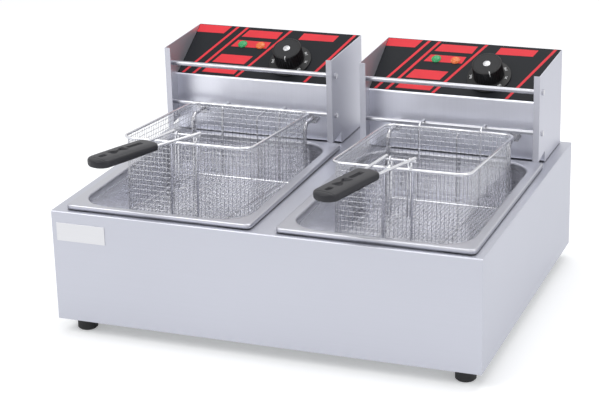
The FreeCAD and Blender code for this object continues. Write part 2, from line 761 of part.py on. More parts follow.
def knob(side):
    """A fluted knob on a wide dial skirt, turned about the panel's normal."""
    grip_base, top = "skirt_sheet", "knob_height"
    body = turned(f"knob_blank_{side}", [
        ("shaft_diameter / 2", "0"), ("skirt_diameter / 2 - 1", "0"), ("skirt_diameter / 2", "1"),
        ("knob_diameter / 2 + 1", grip_base), ("knob_diameter / 2", f"{grip_base} + 1"),
        ("knob_diameter / 2 - knob_chamfer / 3", f"{top} - knob_chamfer"),
        ("knob_diameter / 2 - knob_chamfer", top), ("cap_diameter / 2", top),
        ("cap_diameter / 2", f"{top} - cap_sheet"), ("0", f"{top} - cap_sheet"),
        ("0", "shaft_engagement"), ("shaft_diameter / 2", "shaft_engagement")])
    placed(body, on_slope(side, "knob_offset", "knob_rise", "skirt_base"), TOWARDS["slope"])
    flutes = []
    count = int(number("knob_flutes"))
    for index in range(count):
        angle = f"{index} * 360 / {count}"
        reach = "(knob_diameter / 2 + knob_flute_diameter * 0.3)"
        flutes.append(round_bar(f"flute_{side}_{index}", on_slope(
            side, f"knob_offset + {reach} * cos({angle})", f"knob_rise + {reach} * sin({angle})",
            "skirt_base + skirt_sheet + 1.5"), "slope", "knob_flute_diameter", "knob_height"))
    node(f"knob_{side}", less(f"knob_cut_{side}", body, flutes))
    cap = turned(f"knob_cap_{side}", [
        ("0", "0"), ("cap_diameter / 2", "0"), ("cap_diameter / 2", "cap_sheet"),
        ("cap_diameter / 2 - 0.8", "cap_sheet + 0.4"), ("0", "cap_sheet + 0.4")])
    placed(cap, on_slope(side, "knob_offset", "knob_rise", "skirt_base + knob_height - cap_sheet"),
           TOWARDS["slope"])
    node(f"knob_cap_disc_{side}", cap)
    node(f"thermostat_shaft_{side}", round_bar(
        f"shaft_{side}", on_slope(side, "knob_offset", "knob_rise", "-shaft_root"), "slope",
        "shaft_diameter - 2 * shaft_clearance", "shaft_root + skirt_base + shaft_engagement"))


def thermostat(side):
    case = block(f"thermostat_{side}", ("0", "0", "0"),
                 ("thermostat_width", "thermostat_length", "thermostat_height"))
    placed(case, on_slope(side, "knob_offset - thermostat_width / 2",
                          "knob_rise - thermostat_length / 2",
                          "-head_sheet - thermostat_height"), TOWARDS["slope"])
    bore = round_bar(f"shaft_bore_{side}",
                     on_slope(side, "knob_offset", "knob_rise", "-shaft_root - 1"), "slope",
                     "shaft_diameter", "shaft_root + 1")
    node(f"thermostat_body_{side}", less(f"thermostat_cut_{side}", case, [bore]))


def lamps(side):
    for colour in ("green", "orange"):
        lamp = turned(f"{colour}_lamp_{side}", [
            ("0", "-lamp_barrel_length"), ("lamp_barrel_diameter / 2", "-lamp_barrel_length"),
            ("lamp_barrel_diameter / 2", "0"), ("lens_diameter / 2", "0"),
            ("lens_diameter / 2", "lens_height * 0.5"), ("lens_diameter * 0.4", "lens_height * 0.85"),
            ("lens_diameter * 0.2", "lens_height"), ("0", "lens_height")])
        placed(lamp, on_slope(side, f"{colour}_lamp_offset", "lamp_rise", "overlay_sheet"),
               TOWARDS["slope"])
        node(f"{colour}_lamp_{side}", lamp)


def heating_element(side):
    """A tube from one exit in the front panel, down the pan, in four runs along it and back."""
    middle = f"({side_x(side, 'head_pitch')})"
    row = "element_leg_pitch / 3"
    exit_z, low_z = "deck_top + element_exit_height", "deck_top - element_depth"
    leg_y, front, rear = ("front_y + element_leg_setback", "front_y + element_front",
                          "front_y + element_rear_turn")
    half = "element_leg_pitch / 2"
    corners = [point(f"{middle} - {half}", "panel_y + element_tail", exit_z),
               point(f"{middle} - {half}", leg_y, exit_z), point(f"{middle} - {half}", leg_y, low_z),
               point(f"{middle} - {half}", front, low_z), point(f"{middle} - {row} / 2", front, low_z),
               point(f"{middle} - {row} / 2", rear, low_z), point(f"{middle} + {row} / 2", rear, low_z),
               point(f"{middle} + {row} / 2", front, low_z), point(f"{middle} + {half}", front, low_z),
               point(f"{middle} + {half}", leg_y, low_z), point(f"{middle} + {half}", leg_y, exit_z),
               point(f"{middle} + {half}", "panel_y + element_tail", exit_z)]
    bend, turn = number("element_bend"), number(f"{row} / 2 - 0.2")
    radii = [0, bend, bend] + [turn] * 6 + [bend, bend, 0]
    tube = wire_solid(corners, radii, number("element_diameter"))
    node(f"heating_element_{side}", shaped(f"element_{side}", tube))

    nuts = []
    for name, x in leg_places(side):
        bodies = []
        for place, towards, low in (("front", "-y", "panel_y"), ("back", "+y", "panel_y + head_sheet")):
            prism = doc.addObject("Part::Prism", f"nut_{place}_{name}")
            prism.Polygon = 6
            prism.setExpression("Circumradius", formula("nut_diameter / 2"))
            prism.setExpression("Height", formula("nut_height"))
            bodies.append(placed(prism, (x, low, exit_z), TOWARDS[towards]))
        bores = [round_bar(f"nut_bore_{name}", (x, "panel_y - 20", exit_z), "+y",
                           "element_diameter", "40")]
        nuts.append(less(f"nut_pair_{name}", together(f"nut_blank_{name}", bodies), bores))
    node(f"element_nuts_{side}", together(f"nuts_{side}", nuts))


def thermostat_bulb(side):
    """The sensing bulb over the element, and the thin tube from it back into the head."""
    x = f"{side_x(side, 'head_pitch')} + capillary_offset"
    low_z, exit_z = "deck_top - bulb_depth", "deck_top + capillary_exit_height"
    start = "front_y + bulb_setback"
    bulb = Part.makeCylinder(number("bulb_diameter / 2"), number("bulb_length"),
                             point(x, start, low_z), Vector(0, 1, 0))
    corners = [point(x, f"{start} + bulb_length - 1", low_z),
               point(x, "front_y + capillary_setback", low_z),
               point(x, "front_y + capillary_setback", exit_z),
               point(x, "panel_y + element_tail", exit_z)]
    bend = number("capillary_bend")
    thread = wire_solid(corners, [0, bend, bend, 0], number("capillary_diameter"))
    node(f"thermostat_bulb_{side}", shaped(f"bulb_{side}", fused([bulb, thread])))


def rear_fittings(side):
    middle = side_x(side, "head_pitch")
    node(f"terminal_block_{side}", block(
        f"terminal_{side}", (f"{middle} - terminal_width", "head_back_y - head_sheet - terminal_depth",
                             "deck_top + gland_height - terminal_height / 2"),
        ("terminal_width", "terminal_depth", "terminal_height")))
    x, z = f"{middle} + gland_offset", "deck_top + gland_height"
    shoulder = round_bar(f"gland_shoulder_{side}", (x, "head_back_y", z), "+y", "gland_diameter",
                         "gland_reach * 0.6")
    nose = round_bar(f"gland_nose_{side}", (x, "head_back_y", z), "+y", "gland_diameter - 5",
                     "gland_reach")
    thread = round_bar(f"gland_thread_{side}", (x, "head_back_y + 1", z), "-y",
                       "gland_thread_diameter", "gland_thread_length + 1")
    locknut = round_bar(f"gland_locknut_{side}", (x, "head_back_y - head_sheet", z), "-y",
                        "gland_diameter", "gland_nut_height")
    bore = round_bar(f"gland_bore_{side}", (x, "head_back_y + 20", z), "-y", "gland_bore", "40")
    node(f"cable_gland_{side}", less(f"gland_{side}", joined(
        f"gland_body_{side}", [shoulder, nose, thread, locknut]), [bore]))


# ---- baskets -------------------------------------------------------------------------------
# A basket is drawn level, with its rim's back at y = 0 and z = 0, and then tilted.

def basket_place(side):
    place = point(side_x(side, "head_pitch", f"{side}_basket_shift"), "front_y + basket_rim_setback",
                  f"deck_top + {side}_basket_rim_height")
    return Placement(place, Rotation(Vector(1, 0, 0), -number("basket_tilt")))


def on_basket(side, thing):
    thing.Placement = basket_place(side).multiply(thing.Placement)
    return thing


def tilted(side, label, body, local):
    """A body placed by expressions inside the tilted frame."""
    across, along, up = local
    place = (f"{side_x(side, 'head_pitch', f'{side}_basket_shift')} + {across}",
             f"front_y + basket_rim_setback + ({along}) * cos(basket_tilt) + ({up}) * sin(basket_tilt)",
             f"deck_top + {side}_basket_rim_height - ({along}) * sin(basket_tilt) + ({up}) * cos(basket_tilt)")
    placed(body, place, ((-1, 0, 0), "basket_tilt"))
    body.Label = label
    return body


def basket_mesh(side):
    """The woven liner as a thin open box."""
    outer = slab(f"mesh_outer_{side}", "mesh_width", "mesh_length", "basket_depth",
                 "basket_corner - rim_wire / 2")
    inner = slab(f"mesh_inner_{side}", "mesh_width - 2 * mesh_sheet", "mesh_length - 2 * mesh_sheet",
                 "basket_depth", "basket_corner - rim_wire / 2 - mesh_sheet")
    softened(outer, "mesh_floor_corner", lambda edge: edge.CenterOfMass.z < 0.01)
    softened(inner, "mesh_floor_corner - mesh_sheet", lambda edge: edge.CenterOfMass.z < 0.01)
    tilted(side, f"mesh_outer_{side}", outer, ("0", "-basket_length / 2", "-basket_depth"))
    tilted(side, f"mesh_inner_{side}", inner,
           ("0", "-basket_length / 2", "mesh_sheet - basket_depth"))
    node(f"basket_mesh_{side}", less(f"mesh_{side}", outer, [inner]))


def ring_solid(width, length, middle_y, z, corner, diameter):
    """A closed ring of wire, made as two halves that meet on the centre line."""
    half, near, far = width / 2, middle_y - length / 2, middle_y + length / 2
    halves = []
    for sign in (-1, 1):
        corners = [Vector(0, far, z), Vector(sign * half, far, z), Vector(sign * half, near, z),
                   Vector(0, near, z)]
        halves.append(wire_solid(corners, [0, corner, corner, 0], diameter))
    return fused(halves)


def rod_in_basket(side):
    """The hanging rod's centre, seen in the basket's own tilted frame."""
    along = number("rod_y - front_y - basket_rim_setback")
    up = number(f"hanging_rod_height - {side}_basket_rim_height")
    cosine, sine = number("cos(basket_tilt)"), number("sin(basket_tilt)")
    return along * cosine - up * sine, along * sine + up * cosine


def floor_wire_z():
    """The level of the wires that run under the floor."""
    return -number("basket_depth + frame_wire / 2 + wire_gap")


def hook_wire(side, x):
    """A wire under the floor, up the back wall, over the hanging rod and a little down behind it."""
    rod_along, rod_up = rod_in_basket(side)
    wire = number("frame_wire")
    reach = number("hanging_rod_diameter / 2 + hook_clearance") + wire / 2
    back, bottom, top = -number("rim_wire - frame_wire") / 2, floor_wire_z(), rod_up + reach
    wrap, tail = number("hook_wrap"), number("hook_tail")
    corner_out = reach * number("tan(hook_wrap / 2)")
    over = Vector(x, rod_along + corner_out, top)
    end = over + Vector(0, number("cos(hook_wrap)"), -number("sin(hook_wrap)")) * (corner_out + tail)
    corners = [Vector(x, back - number("hook_floor_run"), bottom), Vector(x, back, bottom),
               Vector(x, back, top), over, end]
    bend = number("wire_bend")
    return wire_solid(corners, [0, bend, bend, reach, 0], wire)


def bracket_wire(x):
    """A hairpin inside the front wall with its feet turned in, and an eye on top for the hinge."""
    wire, spread = number("eye_wire"), number("bracket_spread / 2")
    along = -number("basket_length - hinge_inset")
    eye_up = number("hinge_height")
    low = -number("bracket_length")
    foot = number("bracket_foot")
    top = eye_up - number("eye_radius")
    eye = Part.makeTorus(number("eye_radius"), wire / 2, Vector(x, along, eye_up), Vector(1, 0, 0))
    corners = [Vector(x - spread - foot / 2, along + foot, low), Vector(x - spread, along, low),
               Vector(x - spread, along, top), Vector(x + spread, along, top),
               Vector(x + spread, along, low), Vector(x + spread + foot / 2, along + foot, low)]
    turn = 0.97 * spread
    hairpin = wire_solid(corners, [0, turn, turn, turn, turn, 0], wire)
    over_mesh = number("frame_wire / 2 + wire_gap")
    bridge = wire_solid([Vector(x, along, over_mesh), Vector(x, -number("basket_length"), over_mesh)],
                        [0, 0], number("frame_wire"))
    return [eye, hairpin, bridge]


def front_stay(x):
    """A wire outside the front wall, from the rim down and under the floor."""
    wire = number("frame_wire")
    along, bottom = -number("basket_length - (rim_wire - frame_wire) / 2"), floor_wire_z()
    corners = [Vector(x, along, 0), Vector(x, along, bottom),
               Vector(x, along + number("stay_floor_run"), bottom)]
    return wire_solid(corners, [0, number("wire_bend"), 0], wire)


def basket_frame(side):
    wire, gap = number("frame_wire"), number("mesh_sheet + floor_ring_gap")
    middle = -number("basket_length") / 2
    corner = number("basket_corner")
    rim = ring_solid(number("basket_width"), number("basket_length"), middle, 0, corner,
                     number("rim_wire"))
    inset = 2 * gap + wire
    floor = ring_solid(number("mesh_width") - inset, number("mesh_length") - inset, middle,
                       -number("basket_depth") + gap + wire / 2, corner - inset / 2, wire)
    solids = [rim]
    for sign in (-1, 1):
        solids.append(hook_wire(side, sign * number("hook_pitch / 2")))
        solids.extend(bracket_wire(sign * number("bracket_pitch / 2")))
        solids.append(front_stay(sign * number("stay_pitch / 2")))
    frame = Part.makeCompound([fused(solids), floor])
    node(f"basket_frame_{side}", on_basket(side, shaped(f"frame_{side}", frame)))


def handle_point(side, along, across, up):
    """A place on the handle: out along its own line, across it, and above the hinge."""
    yaw_cos, yaw_sin = number(f"cos({side}_handle_yaw)"), number(f"sin({side}_handle_yaw)")
    return Vector(-along * yaw_sin + across * yaw_cos,
                  -number("basket_length - hinge_inset") - along * yaw_cos - across * yaw_sin,
                  number("hinge_height") + up)


def handle(side):
    """Two wire legs laid across a hinge pin, and the moulded grip over their ends."""
    wire, rise, lift = number("handle_wire"), number(f"tan({side}_handle_rise)"), number("leg_lift")
    reach, entry = number("leg_reach"), number("leg_reach + grip_socket")
    solids = []
    hinge_y, hinge_z = -number("basket_length - hinge_inset"), number("hinge_height")
    for sign in (-1, 1):
        across = sign * number("leg_entry_pitch / 2")
        foot = Vector(sign * number("leg_pitch / 2"), hinge_y, hinge_z + lift)
        gate = handle_point(side, reach, across, lift + rise * reach)
        away = (foot - gate).normalize()
        tail = foot + away * number("leg_tail")
        inner = handle_point(side, entry, across, lift + rise * entry)
        solids.append(wire_solid([tail, gate, inner], [0, number("handle_bend"), 0], wire))
    half = number("(leg_pitch + handle_wire) / 2")
    solids.append(Part.makeCylinder(number("pin_wire") / 2, 2 * half,
                                    Vector(-half, hinge_y, hinge_z), Vector(1, 0, 0)))
    legs = fused(solids)
    node(f"handle_wire_{side}", on_basket(side, shaped(f"handle_legs_{side}", legs)))

    grip = extruded(f"grip_{side}", "XY_Plane", [
        ("grip_width / 2 - grip_root_cut", "0"), ("grip_width / 2", "grip_root_cut"),
        ("grip_width / 2", "grip_length * 0.45"), ("grip_tip_width / 2", "grip_length - grip_tip_cut"),
        ("grip_tip_width / 2 - grip_tip_cut", "grip_length"),
        ("grip_tip_cut - grip_tip_width / 2", "grip_length"),
        ("-grip_tip_width / 2", "grip_length - grip_tip_cut"),
        ("-grip_width / 2", "grip_length * 0.45"), ("-grip_width / 2", "grip_root_cut"),
        ("grip_root_cut - grip_width / 2", "0")], "grip_height")
    softened(grip, "grip_round", upright)
    height = number("grip_height")
    softened(grip, "grip_round", lambda edge: edge.CenterOfMass.z < 0.01
             or edge.CenterOfMass.z > height - 0.01)
    recesses = [block(f"grip_recess_{side}_{count}", ("-grip_width * 0.12", f"grip_length * {start}",
                                                      "grip_height - grip_recess_depth"),
                      ("grip_width * 0.24", f"grip_length * {span}", "grip_recess_depth + 1"))
                for count, (start, span) in enumerate(GRIP_RECESSES)]
    hollowed = less(f"grip_blank_{side}", grip, recesses)
    doc.recompute()
    start = handle_point(side, reach, 0, lift + rise * reach - height / 2)
    # The grip's own +Y points out along the handle, which is half a turn from the frame's +Y.
    turn = Rotation(Vector(0, 0, 1), 180 - number(f"{side}_handle_yaw"))
    solid = hollowed.Shape.copy()
    solid.Placement = Placement(start, turn.multiply(Rotation(Vector(1, 0, 0), number(f"{side}_handle_rise"))))
    node(f"handle_grip_{side}", on_basket(side, shaped(f"grip_body_{side}", solid.cut(legs))))


# ---- assembly ------------------------------------------------------------------------------

cabinet()
feet()
locating_pins()
for side in SIDES:
    pan_collar(side)
    oil_pan(side)
    head_shell(side)
    head_side(side, "inner")
    head_side(side, "outer")
    rear_cover(side)
    overlay(side)
    rods(side)
    thermostat(side)
    lamps(side)
    heating_element(side)
    thermostat_bulb(side)
    rear_fittings(side)
    knob(side)
    basket_mesh(side)
    basket_frame(side)
    handle(side)
doc.recompute()

faults = [item.Label for item in doc.Objects if {"Invalid", "Error"} & set(item.State)]
for item in nodes:
    if item.Shape.isNull() or not item.Shape.isValid() or not item.Shape.Solids:
        faults.append(item.Label)
if faults:
    raise RuntimeError("these objects failed: " + ", ".join(faults))
for item in nodes:
    item.Shape.exportStep(f"parts/{item.Label}.step")
whole = Part.makeCompound([item.Shape for item in nodes]).BoundBox
print(len(nodes), "nodes; size", round(whole.XLength, 1), round(whole.YLength, 1),
      round(whole.ZLength, 1), "from", round(whole.XMin, 1), round(whole.YMin, 1),
      round(whole.ZMin, 1))
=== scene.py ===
"""Looks of the countertop twin deep fryer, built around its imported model. Metres, +Z up."""
import json
import math

import bmesh
import bpy
import numpy as np
from mathutils import Matrix, Vector

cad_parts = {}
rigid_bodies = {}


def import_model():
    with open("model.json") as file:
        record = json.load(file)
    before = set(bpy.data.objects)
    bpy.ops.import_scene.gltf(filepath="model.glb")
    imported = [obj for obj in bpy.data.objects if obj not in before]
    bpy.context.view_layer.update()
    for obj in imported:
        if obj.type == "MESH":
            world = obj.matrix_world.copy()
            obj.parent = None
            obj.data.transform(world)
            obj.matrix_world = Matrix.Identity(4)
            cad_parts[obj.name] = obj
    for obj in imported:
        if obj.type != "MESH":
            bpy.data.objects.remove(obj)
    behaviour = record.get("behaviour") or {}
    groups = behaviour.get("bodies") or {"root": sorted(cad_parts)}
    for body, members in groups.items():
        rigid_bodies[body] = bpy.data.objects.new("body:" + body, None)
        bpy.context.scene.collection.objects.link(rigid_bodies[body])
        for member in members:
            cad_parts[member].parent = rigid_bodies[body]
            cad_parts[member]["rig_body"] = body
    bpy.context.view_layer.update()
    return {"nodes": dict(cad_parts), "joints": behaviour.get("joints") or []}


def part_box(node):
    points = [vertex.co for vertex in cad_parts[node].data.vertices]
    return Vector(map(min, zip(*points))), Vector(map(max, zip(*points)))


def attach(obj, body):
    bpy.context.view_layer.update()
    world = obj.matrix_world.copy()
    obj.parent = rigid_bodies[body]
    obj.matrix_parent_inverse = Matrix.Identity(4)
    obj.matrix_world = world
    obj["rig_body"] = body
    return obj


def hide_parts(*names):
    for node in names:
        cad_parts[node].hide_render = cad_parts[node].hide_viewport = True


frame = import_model()

MM = 0.001
SIDES = ("left", "right")
JOINTS = {joint["name"]: joint for joint in frame["joints"]}


def low(node):
    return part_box(node)[0]


def high(node):
    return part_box(node)[1]


DECK = high("deck_and_front_sheet").z


# ---- surfaces ------------------------------------------------------------------------------

def quads(rows, columns, wrap_rows=False, wrap_columns=False, start=0):
    """Faces between neighbours of a grid of points that are numbered row by row."""
    row, column = np.meshgrid(np.arange(rows - (not wrap_rows)),
                              np.arange(columns - (not wrap_columns)), indexing="ij")
    next_row, next_column = (row + 1) % rows, (column + 1) % columns
    corners = (row * columns + column, row * columns + next_column,
               next_row * columns + next_column, next_row * columns + column)
    return (np.stack(corners, -1).reshape(-1, 4) + start).tolist()


def enclosed(points, faces):
    """Signed volume: a sum over fan triangles of a . (b x c) / 6."""
    total = 0.0
    by_count = {}
    for face in faces:
        by_count.setdefault(len(face), []).append(face)
    for count, group in by_count.items():
        group = np.array(group)
        for index in range(1, count - 1):
            a, b, c = points[group[:, 0]], points[group[:, index]], points[group[:, index + 1]]
            total += float(np.einsum("ij,ij->i", a, np.cross(b, c)).sum()) / 6
    return total


def piece(name, points, faces, finish, body, stands_for=(), place=None, smooth=True):
    """Make a piece from points and faces, faces outwards, and let it ride on a body."""
    points = np.asarray(points, float).reshape(-1, 3)
    if enclosed(points - points.mean(0), faces) < 0:
        faces = [face[::-1] for face in faces]
    mesh = bpy.data.meshes.new(name)
    mesh.from_pydata(points.tolist(), [], faces)
    if place is not None:
        mesh.transform(place)
    mesh.polygons.foreach_set("use_smooth", [smooth] * len(mesh.polygons))
    return fitted(bpy.data.objects.new(name, mesh), finish, body, stands_for)


def fitted(thing, finish, body, stands_for=()):
    """Link an object, give it its finish and body, and hide the nodes that it stands for."""
    if thing.name not in bpy.context.scene.collection.objects:
        bpy.context.scene.collection.objects.link(thing)
    thing.data.materials.clear()
    thing.data.materials.append(finish)
    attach(thing, body)
    if stands_for:
        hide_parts(*stands_for)
    return thing


def slab(points, faces, under, over):
    """Add a thin plate to points and faces, between two loops of four corners."""
    start = len(points)
    points += [tuple(corner) for corner in (*under, *over)]
    faces += [[start + 3, start + 2, start + 1, start],
              [start + 4, start + 5, start + 6, start + 7]]
    faces += [[start + a, start + b, start + b + 4, start + a + 4]
              for a, b in ((0, 1), (1, 2), (2, 3), (3, 0))]


def sharpen(mesh, degrees):
    """Smooth shading with creases wherever two faces meet at more than an angle."""
    mesh.polygons.foreach_set("use_smooth", [True] * len(mesh.polygons))
    mesh.set_sharp_from_angle(angle=math.radians(degrees))


def refined(node, finish, bevel=0.0, crease=32):
    """A welded, smooth-shaded copy of a node, with its sheet edges broken by a small bevel."""
    weld, flat, corner = 2e-6, math.radians(0.6), math.radians(50)
    source = frame["nodes"][node]
    mesh = source.data.copy()
    mesh.name = node + "_finished"
    work = bmesh.new()
    work.from_mesh(mesh)
    bmesh.ops.remove_doubles(work, verts=work.verts, dist=weld)
    bmesh.ops.dissolve_limit(work, angle_limit=flat, verts=work.verts, edges=work.edges)
    work.to_mesh(mesh)
    work.free()
    sharpen(mesh, crease)
    thing = bpy.data.objects.new(node + "_finished", mesh)
    if bevel:
        edge = thing.modifiers.new("broken_edge", "BEVEL")
        edge.width = bevel
        edge.segments = 2
        edge.limit_method = "ANGLE"
        edge.angle_limit = corner
        edge.harden_normals = True
    return fitted(thing, finish, source["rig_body"], (node,))


def tubes(paths, radius, sides, facing):
    """Round wires along many open paths at once, as points and faces.

    Each ring is path + radius * (cos a * n + sin a * b): t is the path's direction, n is the
    facing direction less its part along t, and b = t x n.
    """
    paths = np.asarray(paths, float)
    wires, steps = paths.shape[:2]
    along = np.gradient(paths, axis=1)
    along /= np.linalg.norm(along, axis=-1, keepdims=True)
    normal = np.broadcast_to(facing, paths.shape)
    normal = normal - (normal * along).sum(-1, keepdims=True) * along
    normal = normal / np.linalg.norm(normal, axis=-1, keepdims=True)
    across = np.cross(along, normal)
    angle = np.linspace(0, 2 * np.pi, sides, endpoint=False)[:, None]
    ring = np.cos(angle) * normal[:, :, None] + np.sin(angle) * across[:, :, None]
    points = (paths[:, :, None] + radius * ring).reshape(-1, 3)
    faces = []
    for wire in range(wires):
        start = wire * steps * sides
        faces += quads(steps, sides, wrap_columns=True, start=start)
        faces.append(list(range(start, start + sides))[::-1])
        faces.append(list(range(start + (steps - 1) * sides, start + steps * sides)))
    return points, faces


def hoops(paths, radius, sides, facing):
    """Round wires along many closed paths at once, ringed as in tubes() with n the facing."""
    paths = np.asarray(paths, float)
    loops, steps = paths.shape[:2]
    along = np.roll(paths, -1, 1) - np.roll(paths, 1, 1)
    along /= np.linalg.norm(along, axis=-1, keepdims=True)
    normal = np.broadcast_to(facing, paths.shape)
    across = np.cross(along, normal)
    angle = np.linspace(0, 2 * np.pi, sides, endpoint=False)[:, None]
    ring = np.cos(angle) * normal[:, :, None] + np.sin(angle) * across[:, :, None]
    points = (paths[:, :, None] + radius * ring).reshape(-1, 3)
    faces = []
    for loop in range(loops):
        faces += quads(steps, sides, True, True, start=loop * steps * sides)
    return points, faces


def gathered(*parts):
    """Join several (points, faces) pairs into one."""
    points, faces, start = [], [], 0
    for some_points, some_faces in parts:
        points.append(some_points)
        faces += [[index + start for index in face] for face in some_faces]
        start += len(some_points)
    return np.concatenate(points), faces


def turned(profile, segments, ripple=None):
    """Turn a profile of (radius, height) about Z; ripple(angle, radius, height) changes radii."""
    profile = np.asarray(profile, float)
    angle = np.linspace(0, 2 * np.pi, segments, endpoint=False)[:, None]
    radius = np.broadcast_to(profile[:, 0], (segments, len(profile)))
    height = np.broadcast_to(profile[:, 1], (segments, len(profile)))
    if ripple is not None:
        radius = ripple(angle, radius, height)
    points = np.stack([radius * np.cos(angle), radius * np.sin(angle), height], -1).reshape(-1, 3)
    count = len(profile)
    faces = quads(segments, count, wrap_rows=True)
    for end in (0, count - 1):
        if profile[end, 0] > 1e-9:
            faces.append([row * count + end for row in range(segments)][::1 if end else -1])
    return points, faces


def arc(centre, radius, first, last, count):
    """Points on a circle's arc in a profile plane, between two angles in degrees."""
    angle = np.radians(np.linspace(first, last, count))
    return [(centre[0] + radius * math.cos(a), centre[1] + radius * math.sin(a)) for a in angle]


def rounded_rectangle(half_width, half_length, radius, count):
    """Evenly spaced points round a rectangle with round corners, with outward normals.

    The walk starts at +X on the middle line and goes anticlockwise: straight, quarter circle,
    straight and so on, by distance along the outline.
    """
    width, length = half_width - radius, half_length - radius
    pieces = [length, radius * np.pi / 2, 2 * width, radius * np.pi / 2, 2 * length,
              radius * np.pi / 2, 2 * width, radius * np.pi / 2, length]
    ends = np.concatenate([[0], np.cumsum(pieces)])
    walk = np.linspace(0, ends[-1], count, endpoint=False)
    points, normals = np.zeros((count, 2)), np.zeros((count, 2))
    straight = [((half_width, 0), (0, 1)), ((width, half_length), (-1, 0)),
                ((-half_width, length), (0, -1)), ((-width, -half_length), (1, 0)),
                ((half_width, -length), (0, 1))]
    centres = [(width, length), (-width, length), (-width, -length), (width, -length)]
    for index in range(9):
        here = (walk >= ends[index]) & (walk < ends[index + 1] + (index == 8))
        gone = walk[here] - ends[index]
        if index % 2 == 0:
            start, heading = np.array(straight[index // 2], float)
            points[here] = start + gone[:, None] * heading
            normals[here] = (heading[1], -heading[0])
        else:
            turn = index // 2
            angle = gone / radius + turn * np.pi / 2
            out = np.stack([np.cos(angle), np.sin(angle)], -1)
            points[here] = np.array(centres[turn]) + radius * out
            normals[here] = out
    return points, normals


# ---- shader expressions --------------------------------------------------------------------

class Signal:
    """A shader socket. Operators on it add Math nodes to its graph."""

    def __init__(self, graph, socket):
        self.graph, self.socket = graph, socket

    def __add__(self, other):
        return self.graph.math("ADD", self, other)

    def __mul__(self, other):
        return self.graph.math("MULTIPLY", self, other)

    __radd__ = __add__
    __rmul__ = __mul__


class Graph:
    """A node tree under construction."""

    def __init__(self, tree):
        self.tree = tree

    def plug(self, socket, value):
        """Link a signal to a socket, or give the socket a value."""
        if isinstance(value, Signal):
            self.tree.links.new(value.socket, socket)
        else:
            socket.default_value = value

    def node(self, kind, inputs, settings=None, output=0):
        """Add a node: its settings first, then the values or links of its sockets."""
        node = self.tree.nodes.new("ShaderNode" + kind)
        for name, value in (settings or {}).items():
            setattr(node, name, value)
        for name, value in inputs.items():
            self.plug(node.inputs[name], value)
        return Signal(self, node.outputs[output])

    def math(self, operation, first, second):
        return self.node("Math", {0: first, 1: second}, {"operation": operation})

    def mix(self, first, second, share):
        """A colour between two colours."""
        return self.node("Mix", {0: share, 6: first, 7: second}, {"data_type": "RGBA"}, 2)

    def seen(self):
        """1 for rays that the camera sees straight, mirrored or through a clear piece."""
        straight, mirrored, passed = (self.node("LightPath", {}, output=f"Is {kind} Ray")
                                      for kind in ("Camera", "Glossy", "Transmission"))
        return self.math("MAXIMUM", self.math("MAXIMUM", straight, mirrored), passed)


class Finish(Graph):
    """A material under construction, around one Principled shader."""

    def __init__(self, name, colour, **fixed):
        self.material = bpy.data.materials.new(name)
        self.material.use_nodes = True
        super().__init__(self.material.node_tree)
        self.shader = self.tree.nodes["Principled BSDF"]
        self.set(**{"Base Color": (*colour, 1.0)}, **fixed)

    def set(self, **values):
        """Set or link the shader's own sockets; an underscore stands for a space."""
        for name, value in values.items():
            self.plug(self.shader.inputs[name.replace("_", " ")], value)

    def place(self, scale=(1, 1, 1)):
        """The object's own coordinates, scaled."""
        spot = self.node("TexCoord", {}, output="Object")
        return self.node("Mapping", {"Vector": spot, "Scale": scale})

    def noise(self, scale, detail=2.0, stretch=(1, 1, 1)):
        return self.node("TexNoise", {"Vector": self.place(stretch), "Scale": scale,
                                      "Detail": detail})

    def shade(self, colour, darkest, share):
        """The colour, down to a darker share of itself where the signal is low."""
        dark = (*[channel * darkest for channel in colour], 1.0)
        return self.mix(dark, (*colour, 1.0), share)

    def spread(self, signal, lowest, highest):
        """A 0 to 1 signal carried to another range."""
        return signal * (highest - lowest) + lowest

    def relief(self, height, depth, strength=1.0):
        """Height of a fine texture, in metres, as a bumped normal."""
        self.set(Normal=self.node("Bump", {"Height": height, "Distance": depth,
                                           "Strength": strength}))


def sheet_steel(name, colour, grain, rough=0.34):
    """Satin sheet: a fine grain drawn out along one axis, and faint cloudy unevenness."""
    finish = Finish(name, colour, Metallic=1.0)
    lines = finish.noise(1.0, 3.0, grain)
    cloud = finish.noise(9.0, 2.0)
    finish.set(**{"Base Color": finish.shade(colour, 0.94, lines)})
    finish.set(Roughness=finish.spread(lines, rough - 0.05, rough + 0.05) + cloud * 0.06)
    finish.relief(lines, 0.00002, 0.18)
    return finish.material


def drawn_steel(name, colour, rim_shade_colour, rough):
    """Drawn sheet: the bowl's inside colour is painted bright as painted light, and the trimmed
    flange at deck level is painted darker as painted shade and made a little rougher.
    """
    finish = Finish(name, colour, Metallic=1.0)
    lines = finish.noise(1.0, 3.0, (300, 300, 40))
    height = finish.node("SeparateXYZ", {0: finish.place()}, output="Z")
    on_rim = finish.node("MapRange", {"Value": height, "From Min": DECK - 4 * MM,
                                      "From Max": DECK + 4 * MM})
    inside = finish.shade(colour, 0.98, lines)
    # painted light and shade: one steel, set brighter inside the bowl and darker on the flange, by
    # height
    finish.set(**{"Base Color": finish.mix(inside, (*rim_shade_colour, 1.0), on_rim)})
    finish.set(Roughness=finish.spread(lines, rough - 0.02, rough + 0.02) + on_rim * 0.1)
    finish.relief(lines, 0.00002, 0.06)
    return finish.material


def wire_plating(name, colour, rough):
    """Bright plating with small dull patches."""
    finish = Finish(name, colour, Metallic=1.0)
    patches = finish.noise(160.0, 2.0)
    finish.set(**{"Base Color": finish.shade(colour, 0.86, patches)})
    finish.set(Roughness=finish.spread(patches, rough - 0.06, rough + 0.1))
    return finish.material


